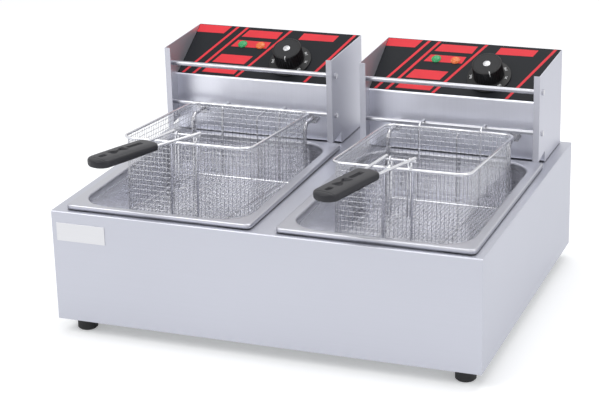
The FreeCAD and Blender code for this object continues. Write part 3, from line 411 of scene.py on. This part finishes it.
def moulding(name, colour, rough, pit_scale, pit_depth, coat=0.0, shine=0.5):
    """Moulded plastic or rubber with a fine pitted skin and slight unevenness."""
    finish = Finish(name, colour, Coat_Weight=coat)
    finish.set(**{"Specular IOR Level": shine})
    pits = finish.noise(pit_scale, 4.0)
    cloud = finish.noise(40.0, 2.0)
    finish.set(**{"Base Color": finish.shade(colour, 0.75, cloud)})
    finish.set(Roughness=finish.spread(cloud, rough - 0.06, rough + 0.06))
    finish.relief(pits, pit_depth, 0.6)
    return finish.material


def lens(name, colour):
    """Clear coloured plastic with a cut pattern inside."""
    finish = Finish(name, colour, Roughness=0.2, Coat_Weight=0.3)
    cuts = finish.node("TexVoronoi", {"Vector": finish.place(), "Scale": 900.0}, output="Distance")
    finish.set(**{"Base Color": finish.shade(colour, 0.45, cuts * 1.6)})
    finish.relief(cuts, 0.0003, 0.8)
    return finish.material


STEEL = (0.535, 0.545, 0.605)
finishes = {
    "cabinet_steel": sheet_steel("satin_cabinet_sheet", STEEL, (6, 900, 900), 0.4),
    "side_steel": sheet_steel("satin_side_sheet", STEEL, (900, 6, 900), 0.4),
    # painted light: the heads' steel is set lighter than the cabinet's same steel, for the
    # highlights on the heads' sides and ear flanges
    "head_steel": sheet_steel("satin_head_sheet_painted_lighter", (0.6, 0.605, 0.665), (900, 900, 8), 0.5),
    "panel_steel": sheet_steel("satin_panel_sheet", (0.85, 0.86, 0.93), (900, 900, 5), 0.36),
    # painted light and shade: the pan's inside colour is raised and its flange colour lowered
    "pan_steel": drawn_steel("drawn_pan_steel", (0.9, 0.905, 0.95), (0.5, 0.505, 0.55), 0.26),
    "pan_outside": sheet_steel("drawn_pan_outside", (0.54, 0.545, 0.59), (300, 300, 40)),
    "galvanised_sheet": sheet_steel("galvanised_tray", (0.45, 0.47, 0.49), (70, 70, 70), 0.5),
    "badge_aluminium": sheet_steel("bare_badge", (0.66, 0.66, 0.68), (10, 1200, 1200), 0.3),
    "rod_steel": sheet_steel("drawn_rod", (0.5, 0.505, 0.54), (6, 1500, 1500), 0.3),
    "screw_steel": wire_plating("bright_zinc", (0.62, 0.62, 0.65), 0.26),
    "frame_wire": wire_plating("nickel_wire", (0.78, 0.785, 0.82), 0.2),
    "mesh_wire": wire_plating("nickel_mesh", (0.66, 0.665, 0.7), 0.2),
    "element_sheath": wire_plating("annealed_sheath", (0.62, 0.62, 0.65), 0.26),
    "bulb_steel": wire_plating("bare_bulb", (0.55, 0.55, 0.58), 0.3),
    "foot_rubber": moulding("black_rubber", (0.02, 0.02, 0.022), 0.7, 700.0, 0.0001),
    "thermostat_phenolic": moulding("brown_phenolic", (0.06, 0.045, 0.035), 0.45, 900.0,
                                    0.00005),
    "terminal_ceramic": moulding("glazed_ceramic", (0.8, 0.78, 0.74), 0.25, 300.0, 0.00005,
                                 0.4),
    "gland_nylon": moulding("black_nylon", (0.025, 0.025, 0.025), 0.5, 900.0, 0.00005),
    "knob_phenolic": moulding("knob_moulding", (0.008, 0.008, 0.009), 0.42, 1100.0, 0.00006,
                              shine=0.3),
    "knob_face": moulding("speckled_face", (0.02, 0.02, 0.022), 0.6, 2600.0, 0.00012,
                          shine=0.3),
    "knob_disc": wire_plating("satin_disc", (0.6, 0.6, 0.62), 0.34),
    "grip_plastic": moulding("grip_moulding", (0.011, 0.011, 0.016), 0.42, 1000.0, 0.0001,
                             shine=0.42),
    "green_lens": lens("green_lamp_lens", (0.002, 0.36, 0.1)),
    "orange_lens": lens("orange_lamp_lens", (0.9, 0.17, 0.01)),
    "overlay_film": moulding("charcoal_film", (0.0135, 0.015, 0.0185), 0.5, 1500.0, 0.00003,
                             shine=0.15),
    "red_print": moulding("red_print", (0.82, 0.045, 0.06), 0.5, 1500.0, 0.00002, shine=0.2),
    "white_print": moulding("white_print", (0.8, 0.8, 0.8), 0.5, 1500.0, 0.00002),
}


# ---- camera, lamps and backdrop ------------------------------------------------------------

def camera():
    """A long lens from the right of the front, a little above, with a slight lean."""
    azimuth, elevation, lean = (math.radians(angle) for angle in (21.38, 19.92, -1.52))
    distance = 2.32338
    front = low("deck_and_front_sheet").y
    aim = Vector((0.00189, front + 0.13876, DECK - 0.00465))
    back = Vector((math.sin(azimuth) * math.cos(elevation),
                   -math.cos(azimuth) * math.cos(elevation), math.sin(elevation)))
    right = Vector((math.cos(azimuth), math.sin(azimuth), 0))
    up = back.cross(right)
    leant_right = right * math.cos(lean) + up * math.sin(lean)
    leant_up = up * math.cos(lean) - right * math.sin(lean)
    data = bpy.data.cameras.new("camera")
    data.lens, data.sensor_width = 109.79, 36.0
    data.clip_start, data.clip_end = 0.1, 50
    eye = bpy.data.objects.new("camera", data)
    bpy.context.scene.collection.objects.link(eye)
    turn = Matrix((leant_right, leant_up, back)).transposed().to_4x4()
    eye.matrix_world = Matrix.Translation(aim + back * distance) @ turn
    bpy.context.scene.camera = eye


def softbox(name, spot, aim, size, power):
    """A rectangular lamp that faces a point."""
    data = bpy.data.lights.new(name, "AREA")
    data.shape, data.size, data.size_y, data.energy = "RECTANGLE", size[0], size[1], power
    lamp = bpy.data.objects.new(name, data)
    lamp.location = spot
    lamp.rotation_euler = (Vector(aim) - Vector(spot)).to_track_quat("-Z", "Y").to_euler()
    bpy.context.scene.collection.objects.link(lamp)


def studio():
    """Three soft lamps in a pale room; the camera, metal and lenses see the room as white."""
    softbox("key_box", (-1.1, -1.5, 2.0), (0, 0, 0.15), (1.4, 1.4), 22)
    softbox("top_box", (0.3, 0.5, 2.2), (0, 0, 0.1), (1.8, 1.2), 16)
    softbox("side_box", (2.2, -0.9, 1.1), (0, 0, 0.15), (0.8, 1.4), 8)
    world = bpy.data.worlds.new("studio")
    bpy.context.scene.world = world
    world.use_nodes = True
    graph = Graph(world.node_tree)
    graph.tree.nodes.clear()
    room = graph.node("Background", {"Color": (0.95, 0.97, 1.0, 1.0), "Strength": 0.62})
    white = graph.node("Background", {"Color": (1.0, 1.0, 1.0, 1.0)})
    mixed = graph.node("MixShader", {0: graph.seen(), 1: room, 2: white})
    output = graph.tree.nodes.new("ShaderNodeOutputWorld")
    graph.plug(output.inputs["Surface"], mixed)


def floor():
    """A pale matt floor that keeps the shadow; its own glow whitens it for the camera."""
    mesh = bpy.data.meshes.new("floor")
    reach = 12.0
    mesh.from_pydata([(-reach, -reach, 0), (reach, -reach, 0), (reach, reach, 0),
                      (-reach, reach, 0)], [], [(0, 1, 2, 3)])
    ground = bpy.data.objects.new("floor", mesh)
    bpy.context.scene.collection.objects.link(ground)
    finish = Finish("pale_floor", (0.88, 0.88, 0.88), Roughness=0.9)
    glow = finish.mix((0.0, 0.0, 0.0, 1.0), (0.28, 0.28, 0.28, 1.0), finish.seen())
    finish.set(**{"Emission Color": glow, "Emission Strength": 1.0, "Specular IOR Level": 0.0})
    mesh.materials.append(finish.material)


# ---- cabinet and pans ----------------------------------------------------------------------

SHEET_EDGE = 0.3 * MM


def cabinet():
    """The fixed body: sheets with broken edges, and the small parts with their own finishes."""
    steel = finishes["cabinet_steel"]
    refined("deck_and_front_sheet", steel, SHEET_EDGE)
    refined("cabinet_rear_panel", steel, SHEET_EDGE)
    refined("badge_plate", finishes["badge_aluminium"], 0.25 * MM)
    for side in SIDES:
        refined(f"cabinet_side_{side}", finishes["side_steel"], SHEET_EDGE)
        refined(f"pan_collar_{side}", steel)
    for name, slot in (("cabinet_bottom_pan", "galvanised_sheet"), ("rubber_feet", "foot_rubber"),
                       ("foot_screws", "screw_steel"), ("head_locating_pins", "screw_steel")):
        refined(name, finishes[slot])


def pan(side):
    """One drawn sheet: lip, flange and bowl are loops of a rounded rectangle.

    Each loop is (half width, half length, corner radius, height). The loops run over the lip
    and flange and down the bowl's inside to its floor; Solidify grows the sheet behind them and
    gives that side the plain outside finish, darker than the inside, which is painted brighter as
    painted light.
    """
    node = f"oil_pan_{side}"
    lowest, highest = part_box(node)
    middle = (lowest + highest) / 2
    half_width, half_length = (highest.x - lowest.x) / 2, (highest.y - lowest.y) / 2
    sheet, lip, bend = 1 * MM, 5.5 * MM, 2 * MM
    bowl_half_width, bowl_half_length = 113 * MM, 156 * MM
    top, floor_level = highest.z, lowest.z + sheet
    rim_corner, bowl_corner, floor_corner = 6 * MM, 40 * MM, 17 * MM
    inner_width, inner_length = bowl_half_width - sheet, bowl_half_length - sheet
    mouth = 3 * MM
    loops = [(half_width, half_length, rim_corner, top - lip)]
    for out, up in arc((0, 0), bend, 0, 90, 7):
        loops.append((half_width - bend + out, half_length - bend + out, rim_corner - bend + out,
                      top - bend + up))
    for share in np.linspace(0.12, 1, 5):
        width = half_width - bend + (inner_width + mouth - half_width + bend) * share
        length = half_length - bend + (inner_length + mouth - half_length + bend) * share
        corner = rim_corner + (bowl_corner + mouth - rim_corner) * share
        loops.append((width, length, corner, top))
    for out, up in arc((mouth, -mouth), mouth, 90, 180, 8)[1:]:
        loops.append((inner_width + out, inner_length + out, bowl_corner - sheet + out, top + up))
    for level in np.linspace(top - mouth, floor_level + floor_corner, 9)[1:]:
        loops.append((inner_width, inner_length, bowl_corner - sheet, level))
    for out, up in arc((-floor_corner, floor_corner), floor_corner, 0, -90, 12)[1:]:
        loops.append((inner_width + out, inner_length + out, bowl_corner - sheet + out,
                      floor_level + up))
    corner_left = bowl_corner - sheet - floor_corner
    for share in (0.75, 0.5, 0.25, 0.02):
        loops.append(((inner_width - floor_corner) * share, (inner_length - floor_corner) * share,
                      corner_left * share, floor_level))
    count = 288
    rows = []
    for width, length, corner, level in loops:
        ring, _ = rounded_rectangle(width, length, corner, count)
        rows.append(np.column_stack([ring + (middle.x, middle.y), np.full(count, level)]))
    points = np.concatenate(rows)
    faces = quads(len(loops), count, wrap_columns=True)
    faces.append([(len(loops) - 1) * count + index for index in range(count)])
    mesh = bpy.data.meshes.new(f"pan_{side}")
    mesh.from_pydata(points.tolist(), [], faces)
    thing = bpy.data.objects.new(f"pan_{side}", mesh)
    sharpen(mesh, 40)
    wall = thing.modifiers.new("sheet", "SOLIDIFY")
    wall.thickness = sheet
    wall.offset = 1.0 if mesh.polygons[-1].normal.z < 0 else -1.0
    wall.material_offset = 1
    fitted(thing, finishes["pan_steel"], f"pan_{side}", (node,))
    mesh.materials.append(finishes["pan_outside"])


# ---- control heads -------------------------------------------------------------------------

def slope_frame(side):
    """The sloped panel's own axes at the knob: across, up the slope, and off its face."""
    joint = JOINTS[f"knob_turn_{side}"]
    off = Vector(joint["axis"])
    across = Vector((1, 0, 0))
    turn = Matrix((across, off.cross(across), off)).transposed().to_4x4()
    return Matrix.Translation(joint["pos_m"]) @ turn


KNOB_RISE, LAMP_RISE = 40 * MM, 65.5 * MM
OVERLAY_LIFT = 0.5 * MM
# The knob's sizes are in millimetres, as its profiles are: the skirt's and grip's radii, the
# top, and the skirt's sloped face between its outer edge and the grip's foot.
SKIRT_RADIUS, KNOB_RADIUS, KNOB_TOP = 29.75, 20.5, 25.0
CONE_EDGE, CONE_FOOT = SKIRT_RADIUS - 1, KNOB_RADIUS + 1.4
CONE_EDGE_HEIGHT, CONE_FOOT_HEIGHT = 1.2, 2.4
CONE_FALL = math.atan2(CONE_FOOT_HEIGHT - CONE_EDGE_HEIGHT, CONE_EDGE - CONE_FOOT)
# The dial's first and last tick stand at these degrees from +X, with steps between them.
DIAL_FIRST, DIAL_LAST, DIAL_STEPS, PRINT_THICK = -80, 190, 21, 0.04
# Where each knob's pointer line stands on its top face, in degrees from +X.
POINTER = {"left": -80, "right": -65}


def on_overlay(side, across, rise, lift):
    """A point from the panel's left edge, up the slope from its lower bend, and off the film."""
    place = slope_frame(side)
    left = low(f"control_overlay_{side}").x - place.translation.x
    return place @ Vector((left + across, rise - KNOB_RISE, OVERLAY_LIFT + lift))


def print_blocks(side):
    """Plain red blocks and slanting stripes printed on the film, each a thin plate."""
    width = (high(f"control_overlay_{side}") - low(f"control_overlay_{side}")).x / MM
    top, foot, thick = 99.2, 2.9, 0.05
    stripes = [((59.7, top), (7.8, foot)), ((74.5, top), (23.8, foot)),
               ((140.9, top), (88.8, foot)), ((236.0, top), (190.3, foot))]
    half = 2.15
    shapes = [[(0.3, 84.0), (42.0, 84.3), (50.0, top), (0.3, top)],
              [(71.0, 80.6), (124.2, 80.6), (129.4, 94.6), (78.6, 94.6)],
              [(61.2, 60.2), (114.9, 60.8), (118.4, 73.5), (68.2, 73.5)],
              [(44.0, 27.5), (92.3, 27.5), (100.5, 43.9), (52.9, 43.9)],
              [(35.3, 7.4), (83.9, 7.0), (90.2, 21.2), (41.8, 21.2)],
              [(156.4, 82.6), (208.1, 83.3), (213.4, 95.6), (161.2, 95.6)]]
    for upper, lower in stripes:
        shapes.append([(lower[0] - half, lower[1]), (lower[0] + half, lower[1]),
                       (min(upper[0] + half, width - 0.2), upper[1]), (upper[0] - half, upper[1])])
    points, faces = [], []
    for shape in shapes:
        slab(points, faces, *[[on_overlay(side, x * MM, rise * MM, lift * MM)
                               for x, rise in shape] for lift in (0.0, thick)])
    piece(f"red_blocks_{side}", points, faces, finishes["red_print"], f"head_{side}",
          smooth=False)


def knob(side):
    """Skirt and grip as one turned profile; the grip's radius dips once per flute."""
    place = slope_frame(side)
    skirt, grip, top = SKIRT_RADIUS, KNOB_RADIUS, KNOB_TOP
    flutes, flute_depth, film_gap = 36, 0.55, 1.1 * MM
    skirt_profile = [(3.1, 0.0), (CONE_EDGE, 0.0), *arc((skirt - 0.7, 0.7), 0.7, -90, 45, 5),
                     (CONE_FOOT, CONE_FOOT_HEIGHT), (grip + 0.6, 2.7)]
    wall = [(grip, 3.3), *[(grip - 0.02 * step, 3.3 + step) for step in np.linspace(1, 18, 14)],
            *arc((grip - 1.7, top - 1.3), 1.3, 0, 90, 6), (18.0, top), (17.8, top - 0.25)]
    profile = np.array(skirt_profile + wall + [(0.0, top - 0.25)]) * MM

    def fluted(angle, radius, height):
        inside = (height > 3.8 * MM) & (height < (top - 1.0) * MM) & (radius > 18 * MM)
        wave = (0.5 + 0.5 * np.cos(flutes * angle)) ** 2
        return radius - inside * flute_depth * MM * wave

    points, faces = turned(profile, 288, fluted)
    shift = place @ Matrix.Translation((0, 0, film_gap))
    made = piece(f"knob_{side}_moulding", points, faces, finishes["knob_phenolic"], f"knob_{side}",
                 (f"knob_{side}",), shift)
    sharpen(made.data, 50)

    face = np.array([(0.0, 0.0), (17.7, 0.0), (17.7, 0.15), (17.4, 0.35), (0.0, 0.35)]) * MM
    points, faces = turned(face, 96)
    made = piece(f"knob_{side}_face", points, faces, finishes["knob_face"], f"knob_{side}",
                 (), shift @ Matrix.Translation((0, 0, (top - 0.3) * MM)))
    sharpen(made.data, 30)
    disc = np.array([(0.0, -1.0), (5.0, -1.0), (5.0, 0.35), (4.6, 0.6), (0.0, 0.65)]) * MM
    points, faces = turned(disc, 64)
    piece(f"knob_{side}_disc", points, faces, finishes["knob_disc"], f"knob_{side}",
          (f"knob_cap_disc_{side}",), shift @ Matrix.Translation((0, 0, top * MM)))
    dial_marks(side, shift)
    dial_numbers(side, shift)


def cone(distance):
    """The height of the skirt's sloped face at a distance from the knob's middle."""
    return CONE_EDGE_HEIGHT + (CONE_EDGE - distance) * math.tan(CONE_FALL)


def dial_marks(side, shift):
    """White ticks on the skirt's cone, and a pointer line over the grip's edge."""
    points, faces = [], []

    def mark(angle, outer, inner, half, outer_height, inner_height, thick):
        """A plate along a heading, between two distances from the middle and their heights."""
        heading = Vector((math.cos(angle), math.sin(angle), 0))
        aside = Vector((-heading.y, heading.x, 0))
        spots = ((outer, -half, outer_height), (outer, half, outer_height),
                 (inner, half, inner_height), (inner, -half, inner_height))
        slab(points, faces, *[[(heading * distance + aside * offset
                                + Vector((0, 0, height + lift))) * MM
                               for distance, offset, height in spots] for lift in (0.0, thick)])

    tick_end = 28.6
    for index in range(DIAL_STEPS + 1):
        angle = math.radians(DIAL_FIRST + (DIAL_LAST - DIAL_FIRST) * index / DIAL_STEPS)
        inner, half = (26.9, 0.35) if index % 3 == 0 else (27.5, 0.25)
        mark(angle, tick_end, inner, half, cone(tick_end), cone(inner), PRINT_THICK)
    heading = math.radians(POINTER[side])
    outer, over, rim = KNOB_RADIUS + 0.05, KNOB_TOP + 0.1, KNOB_TOP - 0.9
    half, thick = 0.5, 0.05
    mark(heading, 19.6, 15.5, half, over, over, thick)
    mark(heading, outer, KNOB_RADIUS - 0.6, half, rim, over, thick)
    mark(heading, outer, outer, half, rim - 4.5, rim, thick)
    piece(f"dial_ticks_{side}", points, faces, finishes["white_print"], f"knob_{side}",
          (), shift, smooth=False)


def dial_numbers(side, shift):
    """Plain numbers that lie on the skirt's cone, tops outwards."""
    labels = ("0", "50", "75", "100", "125", "150", "175", "200")
    size, weight, distance = 4.8 * MM, 0.12 * MM, 24.7
    for index, words in enumerate(labels):
        angle = DIAL_FIRST + (DIAL_LAST - DIAL_FIRST) * index / (len(labels) - 1)
        curve = bpy.data.curves.new(f"number_{side}_{words}", "FONT")
        curve.body, curve.size, curve.extrude = words, size, 0.02 * MM
        curve.offset = weight
        curve.align_x, curve.align_y = "CENTER", "CENTER"
        text = bpy.data.objects.new(f"number_{side}_{words}", curve)
        bpy.context.scene.collection.objects.link(text)
        bpy.context.view_layer.update()
        mesh = bpy.data.meshes.new_from_object(text)
        bpy.data.objects.remove(text)
        turn = (Matrix.Rotation(math.radians(angle), 4, "Z")
                @ Matrix.Translation((distance * MM, 0, (cone(distance) + PRINT_THICK) * MM))
                @ Matrix.Rotation(CONE_FALL, 4, "Y") @ Matrix.Rotation(math.radians(90), 4, "Z"))
        mesh.transform(shift @ turn)
        fitted(bpy.data.objects.new(f"dial_{side}_{words}", mesh), finishes["white_print"],
               f"knob_{side}")


def faceted(rings, facets, foot, crown):
    """A dome of flat facets over rings of (radius, height, turn as a share of a facet).

    Rings with the same turn are joined by quads, others by triangles that point up and down in
    turn; two fans close the dome at the heights foot and crown.
    """
    points = [(radius * math.cos((index + turn) * math.tau / facets) * MM,
               radius * math.sin((index + turn) * math.tau / facets) * MM, height * MM)
              for radius, height, turn in rings for index in range(facets)]
    points += [(0, 0, foot * MM), (0, 0, crown * MM)]
    foot_point, crown_point = len(points) - 2, len(points) - 1
    faces = []
    for ring in range(len(rings) - 1):
        lean = rings[ring + 1][2] - rings[ring][2]
        for index in range(facets):
            following = (index + 1) % facets
            one, two = ring * facets + index, ring * facets + following
            over_one, over_two = one + facets, two + facets
            if lean == 0:
                faces.append([one, two, over_two, over_one])
            elif lean > 0:
                faces += [[one, two, over_one], [over_one, two, over_two]]
            else:
                faces += [[one, two, over_two], [one, over_two, over_one]]
    last = (len(rings) - 1) * facets
    for index in range(facets):
        following = (index + 1) % facets
        faces.append([foot_point, following, index])
        faces.append([crown_point, last + index, last + following])
    return points, faces


def lamp(side, colour):
    """A round lamp: its barrel and flange as one turned piece, and its cut dome."""
    node, finish = f"{colour}_lamp_{side}", finishes[f"{colour}_lens"]
    place = slope_frame(side)
    centre = (low(node) + high(node)) / 2
    offset = centre.x - place.translation.x
    seat = place @ Matrix.Translation((offset, LAMP_RISE - KNOB_RISE, OVERLAY_LIFT))
    barrel = [(0.0, -24.0), (4.4, -24.0), (4.4, 0.0), (6.6, 0.0), (6.7, 0.9), (6.3, 1.3),
              (5.9, 1.3), (0.0, 1.3)]
    points, faces = turned(np.array(barrel) * MM, 64)
    made = piece(f"{colour}_bezel_{side}", points, faces, finish, f"head_{side}",
                 (node,), seat)
    sharpen(made.data, 35)
    rings = [(5.9, 1.0, 0.0), (5.9, 1.5, 0.0), (4.6, 2.4, 0.5), (3.1, 2.85, 0.0), (1.5, 3.0, 0.5)]
    points, faces = faceted(rings, 14, 1.0, 2.8)
    piece(f"{colour}_lens_{side}", points, faces, finish, f"head_{side}", (),
          seat, smooth=False)


def head(side):
    """One control head: its sheets, fittings, film print, lamps and knob."""
    refined(f"head_panel_{side}", finishes["panel_steel"], 0.2 * MM)
    for name in ("head_side_inner", "head_side_outer", "head_rear_cover"):
        refined(f"{name}_{side}", finishes["head_steel"], SHEET_EDGE)
    refined(f"control_overlay_{side}", finishes["overlay_film"])
    for name, slot in (("guard_rod", "rod_steel"), ("hanging_rod", "rod_steel"),
                       ("head_screws", "screw_steel"), ("element_nuts", "screw_steel"),
                       ("thermostat_shaft", "screw_steel"), ("heating_element", "element_sheath"),
                       ("thermostat_bulb", "bulb_steel"), ("cable_gland", "gland_nylon"),
                       ("terminal_block", "terminal_ceramic"),
                       ("thermostat_body", "thermostat_phenolic")):
        refined(f"{name}_{side}", finishes[slot])
    print_blocks(side)
    for colour in ("green", "orange"):
        lamp(side, colour)
    knob(side)


# ---- baskets and handles -------------------------------------------------------------------

TILT = math.radians(4.7)
BASKET_LENGTH, HINGE_INSET, HINGE_HEIGHT = 220 * MM, 5 * MM, 10 * MM
YAW = {"left": math.radians(21.7), "right": math.radians(17.8)}
RISE = {"left": math.radians(-4.6), "right": math.radians(-6.6)}


def basket_frame(side):
    """The basket's own axes: its origin is in the middle of the rim's back, its rim is level."""
    hinge = Vector(JOINTS[f"handle_fold_{side}"]["pos_m"])
    turn = Matrix.Rotation(-TILT, 4, "X")
    seat = turn @ Vector((0, HINGE_INSET - BASKET_LENGTH, HINGE_HEIGHT))
    return Matrix.Translation(hinge - seat) @ turn


# The woven box: its half sizes, corner and depth at the wires' middles. The wire: its radius,
# its swing to either side at a crossing, and the number of sides of its section.
MESH_HALF_WIDTH, MESH_HALF_LENGTH, MESH_CORNER = 85.4 * MM, 107.4 * MM, 13.4 * MM
MESH_DEPTH, WIRE, WAVE, WIRE_SIDES = 103 * MM, 0.34 * MM, 0.34 * MM, 5


def alternate(count, first=1):
    """+1 and -1 in turn, starting with first."""
    return np.where(np.arange(count) % 2 == 0, first, -first)


def woven_wall():
    """Plain weave: at each crossing the upright goes out by +-wave and the hoop by -+wave.

    Uprights stand on a rounded rectangle at even steps; hoops follow it at even heights.
    """
    uprights, rows = 140, 16
    rim_gap, height = 0.6 * MM, MESH_DEPTH - 1.4 * MM
    ring, out = rounded_rectangle(MESH_HALF_WIDTH, MESH_HALF_LENGTH, MESH_CORNER, uprights * 2)
    ring = ring + (0, -BASKET_LENGTH / 2)
    steps = np.arange(rows * 2 + 1)
    heights = -steps * height / (rows * 2) - rim_gap
    phase = np.where(steps % 2 == 1, np.where((steps // 2) % 2 == 0, 1, -1), 0)
    bulge = WAVE * alternate(uprights)[:, None] * phase[None, :]
    stand, face = ring[::2], out[::2]
    paths = np.concatenate([
        stand[:, None, :] + face[:, None, :] * bulge[:, :, None],
        np.broadcast_to(heights[None, :, None], (uprights, len(heights), 1))], -1)
    facing = np.concatenate([np.broadcast_to(face[:, None, :], (uprights, len(heights), 2)),
                             np.zeros((uprights, len(heights), 1))], -1)
    around = np.arange(uprights * 2)
    levels = -(np.arange(rows) + 0.5) * height / rows - rim_gap
    swing = np.where(around % 2 == 0, np.where((around // 2) % 2 == 0, -1, 1), 0)
    bulge = WAVE * alternate(rows)[:, None] * swing[None, :]
    loops = np.concatenate([
        ring[None, :, :] + out[None, :, :] * bulge[:, :, None],
        np.broadcast_to(levels[:, None, None], (rows, len(around), 1))], -1)
    loop_facing = np.concatenate([np.broadcast_to(out[None], (rows, *out.shape)),
                                  np.zeros((rows, len(around), 1))], -1)
    return tubes(paths, WIRE, WIRE_SIDES, facing), hoops(loops, WIRE, WIRE_SIDES, loop_facing)


def woven_floor():
    """Two families of straight wires with the wall's over and under, cut off at its outline."""
    pitch, trim, end_gap, level = 5.4 * MM, 1 * MM, 0.6 * MM, -MESH_DEPTH + 0.9 * MM
    along_count = int(2 * (MESH_HALF_LENGTH - trim) / pitch)
    across_count = int(2 * (MESH_HALF_WIDTH - trim) / pitch)
    families = []
    for count, reach, other_count, other_reach, lengthways in (
            (along_count, MESH_HALF_LENGTH, across_count, MESH_HALF_WIDTH, False),
            (across_count, MESH_HALF_WIDTH, along_count, MESH_HALF_LENGTH, True)):
        spots = (np.arange(count) - (count - 1) / 2) * pitch
        marks = np.arange(other_count * 2 + 1)
        walk = (marks - other_count) * pitch / 2
        lift = np.where(marks % 2 == 1, np.where((marks // 2) % 2 == 0, 1, -1), 0)
        lift = lift[None, :] * alternate(count, -1 if lengthways else 1)[:, None]
        near = np.abs(spots) - (reach - MESH_CORNER)
        shorter = np.where(
            near > 0, MESH_CORNER - np.sqrt(np.maximum(MESH_CORNER**2 - near**2, 0)), 0)
        limit = other_reach - end_gap - shorter
        walk = np.clip(np.broadcast_to(walk, (count, len(marks))), -limit[:, None], limit[:, None])
        fixed = np.broadcast_to(spots[:, None], walk.shape)
        x, y = (fixed, walk) if lengthways else (walk, fixed)
        line = np.stack([x, y - BASKET_LENGTH / 2, level + WAVE * lift], -1)
        families.append(tubes(distinct(line), WIRE, WIRE_SIDES, np.array((0.0, 0.0, 1.0))))
    return families


def woven_basket(side):
    """The whole mesh of a basket as one piece of woven wires."""
    points, faces = gathered(*woven_wall(), *woven_floor())
    piece(f"woven_basket_{side}", points, faces, finishes["mesh_wire"], f"basket_{side}",
          (f"basket_mesh_{side}",), basket_frame(side))


def distinct(lines):
    """Spread points that a clip has piled up at a wire's ends, so that each step has a length."""
    ramp = np.linspace(-1, 1, lines.shape[1])[None, :, None] * 1e-5
    heading = np.sign(lines[:, -1:] - lines[:, :1])
    return lines + heading * ramp


def superellipse(power, flatness, count):
    """Points at even distance on x = c^(2/p), z = s^(2/p), for c, s = cos, sin of an angle.

    The distance is measured on the outline flattened by a factor, as it is used.
    """
    fine = np.linspace(0, 2 * np.pi, 2000)
    cosine, sine = np.cos(fine), np.sin(fine)
    shape = np.stack([np.sign(cosine) * np.abs(cosine) ** (2 / power),
                      flatness * np.sign(sine) * np.abs(sine) ** (2 / power)], -1)
    walked = np.concatenate([[0], np.cumsum(np.linalg.norm(np.diff(shape, axis=0), axis=1))])
    even = np.linspace(0, walked[-1], count, endpoint=False)
    return np.interp(even, walked, shape[:, 0]), np.interp(even, walked, shape[:, 1]) / flatness


def grip(side):
    """The moulded handle grip: superellipse sections along its length, with hollows on top.

    A section is x = w * unit x, z = t * unit z. w and t change along the grip, and round off
    over a length r at each end by the factor (1 - (1 - distance / r)^k)^(1/k).
    """
    length, sections, around = 98.5 * MM, 150, 120
    wide, tip, thick = 18 * MM, 17.7 * MM, 6.25 * MM
    along = (1 - np.cos(np.linspace(0, np.pi, sections))) / 2
    span = along * length
    half_width = wide + (tip - wide) * np.clip((along - 0.4) / 0.6, 0, 1)
    close = 1.0
    for far, curl, round_length in ((span, 2.3, 9 * MM), (length - span, 2.1, 15 * MM)):
        close = close * (1 - (1 - np.clip(far / round_length, 0, 1)) ** curl) ** (1 / curl)
    half_thick = thick * (0.84 + 0.16 * np.clip(along / 0.45, 0, 1)) * (0.5 + 0.5 * close)
    half_width = half_width * close
    unit_x, unit_z = superellipse(3.8, 0.45, around)
    x = half_width[:, None] * unit_x
    z = half_thick[:, None] * unit_z
    y = np.broadcast_to(span[:, None], x.shape)

    def hollow(start, end, half, depth, waist=0.0):
        """A dip with soft edges between two distances; a waist draws its middle in."""
        middle = (start + end) / 2
        pinch = half * (1 - waist * np.exp(-((y - middle) / (0.22 * (end - start))) ** 2))
        ends = np.clip((y - start) / (1.4 * MM), 0, 1) * np.clip((end - y) / (1.4 * MM), 0, 1)
        flanks = np.clip((pinch - np.abs(x)) / (1.1 * MM), 0, 1)
        dip = ends * flanks
        return depth * dip * dip * (3 - 2 * dip) * (unit_z > 0.5)

    z = z - hollow(16 * MM, 40 * MM, 3.8 * MM, 2.4 * MM)
    z = z - hollow(43 * MM, 68 * MM, 6.8 * MM, 2.4 * MM, 0.7)
    z = z - hollow(75 * MM, 86 * MM, 3.6 * MM, 2.2 * MM)
    z = z - np.exp(-((y - 91 * MM) / (0.5 * MM)) ** 2) * 0.4 * MM * (unit_z > 0.5)
    seam = np.exp(-(z / (0.35 * MM)) ** 2) * 0.12 * MM
    x = x + np.sign(x) * seam * (np.abs(unit_x) > 0.9)
    points = np.stack([x, y, z + thick], -1).reshape(-1, 3)
    faces = quads(sections, around, wrap_columns=True)
    faces.append(list(range(around))[::-1])
    faces.append(list(range((sections - 1) * around, sections * around)))
    yaw, rise, reach, lift = YAW[side], RISE[side], 58.5 * MM, 3 * MM
    hinge = Vector((0, HINGE_INSET - BASKET_LENGTH, HINGE_HEIGHT))
    start = hinge + Vector((-math.sin(yaw) * reach, -math.cos(yaw) * reach,
                            lift + math.tan(rise) * reach - thick))
    place = (basket_frame(side) @ Matrix.Translation(start)
             @ Matrix.Rotation(math.pi - yaw, 4, "Z") @ Matrix.Rotation(rise, 4, "X"))
    made = piece(f"grip_{side}", points, faces, finishes["grip_plastic"], f"handle_{side}",
                 (f"handle_grip_{side}",), place)
    sharpen(made.data, 40)


camera()
studio()
floor()
cabinet()
for side in SIDES:
    pan(side)
    head(side)
    woven_basket(side)
    grip(side)
    refined(f"basket_frame_{side}", finishes["frame_wire"], crease=60)
    refined(f"handle_wire_{side}", finishes["frame_wire"], crease=60)

scene = bpy.context.scene
scene.view_settings.view_transform = "Standard"
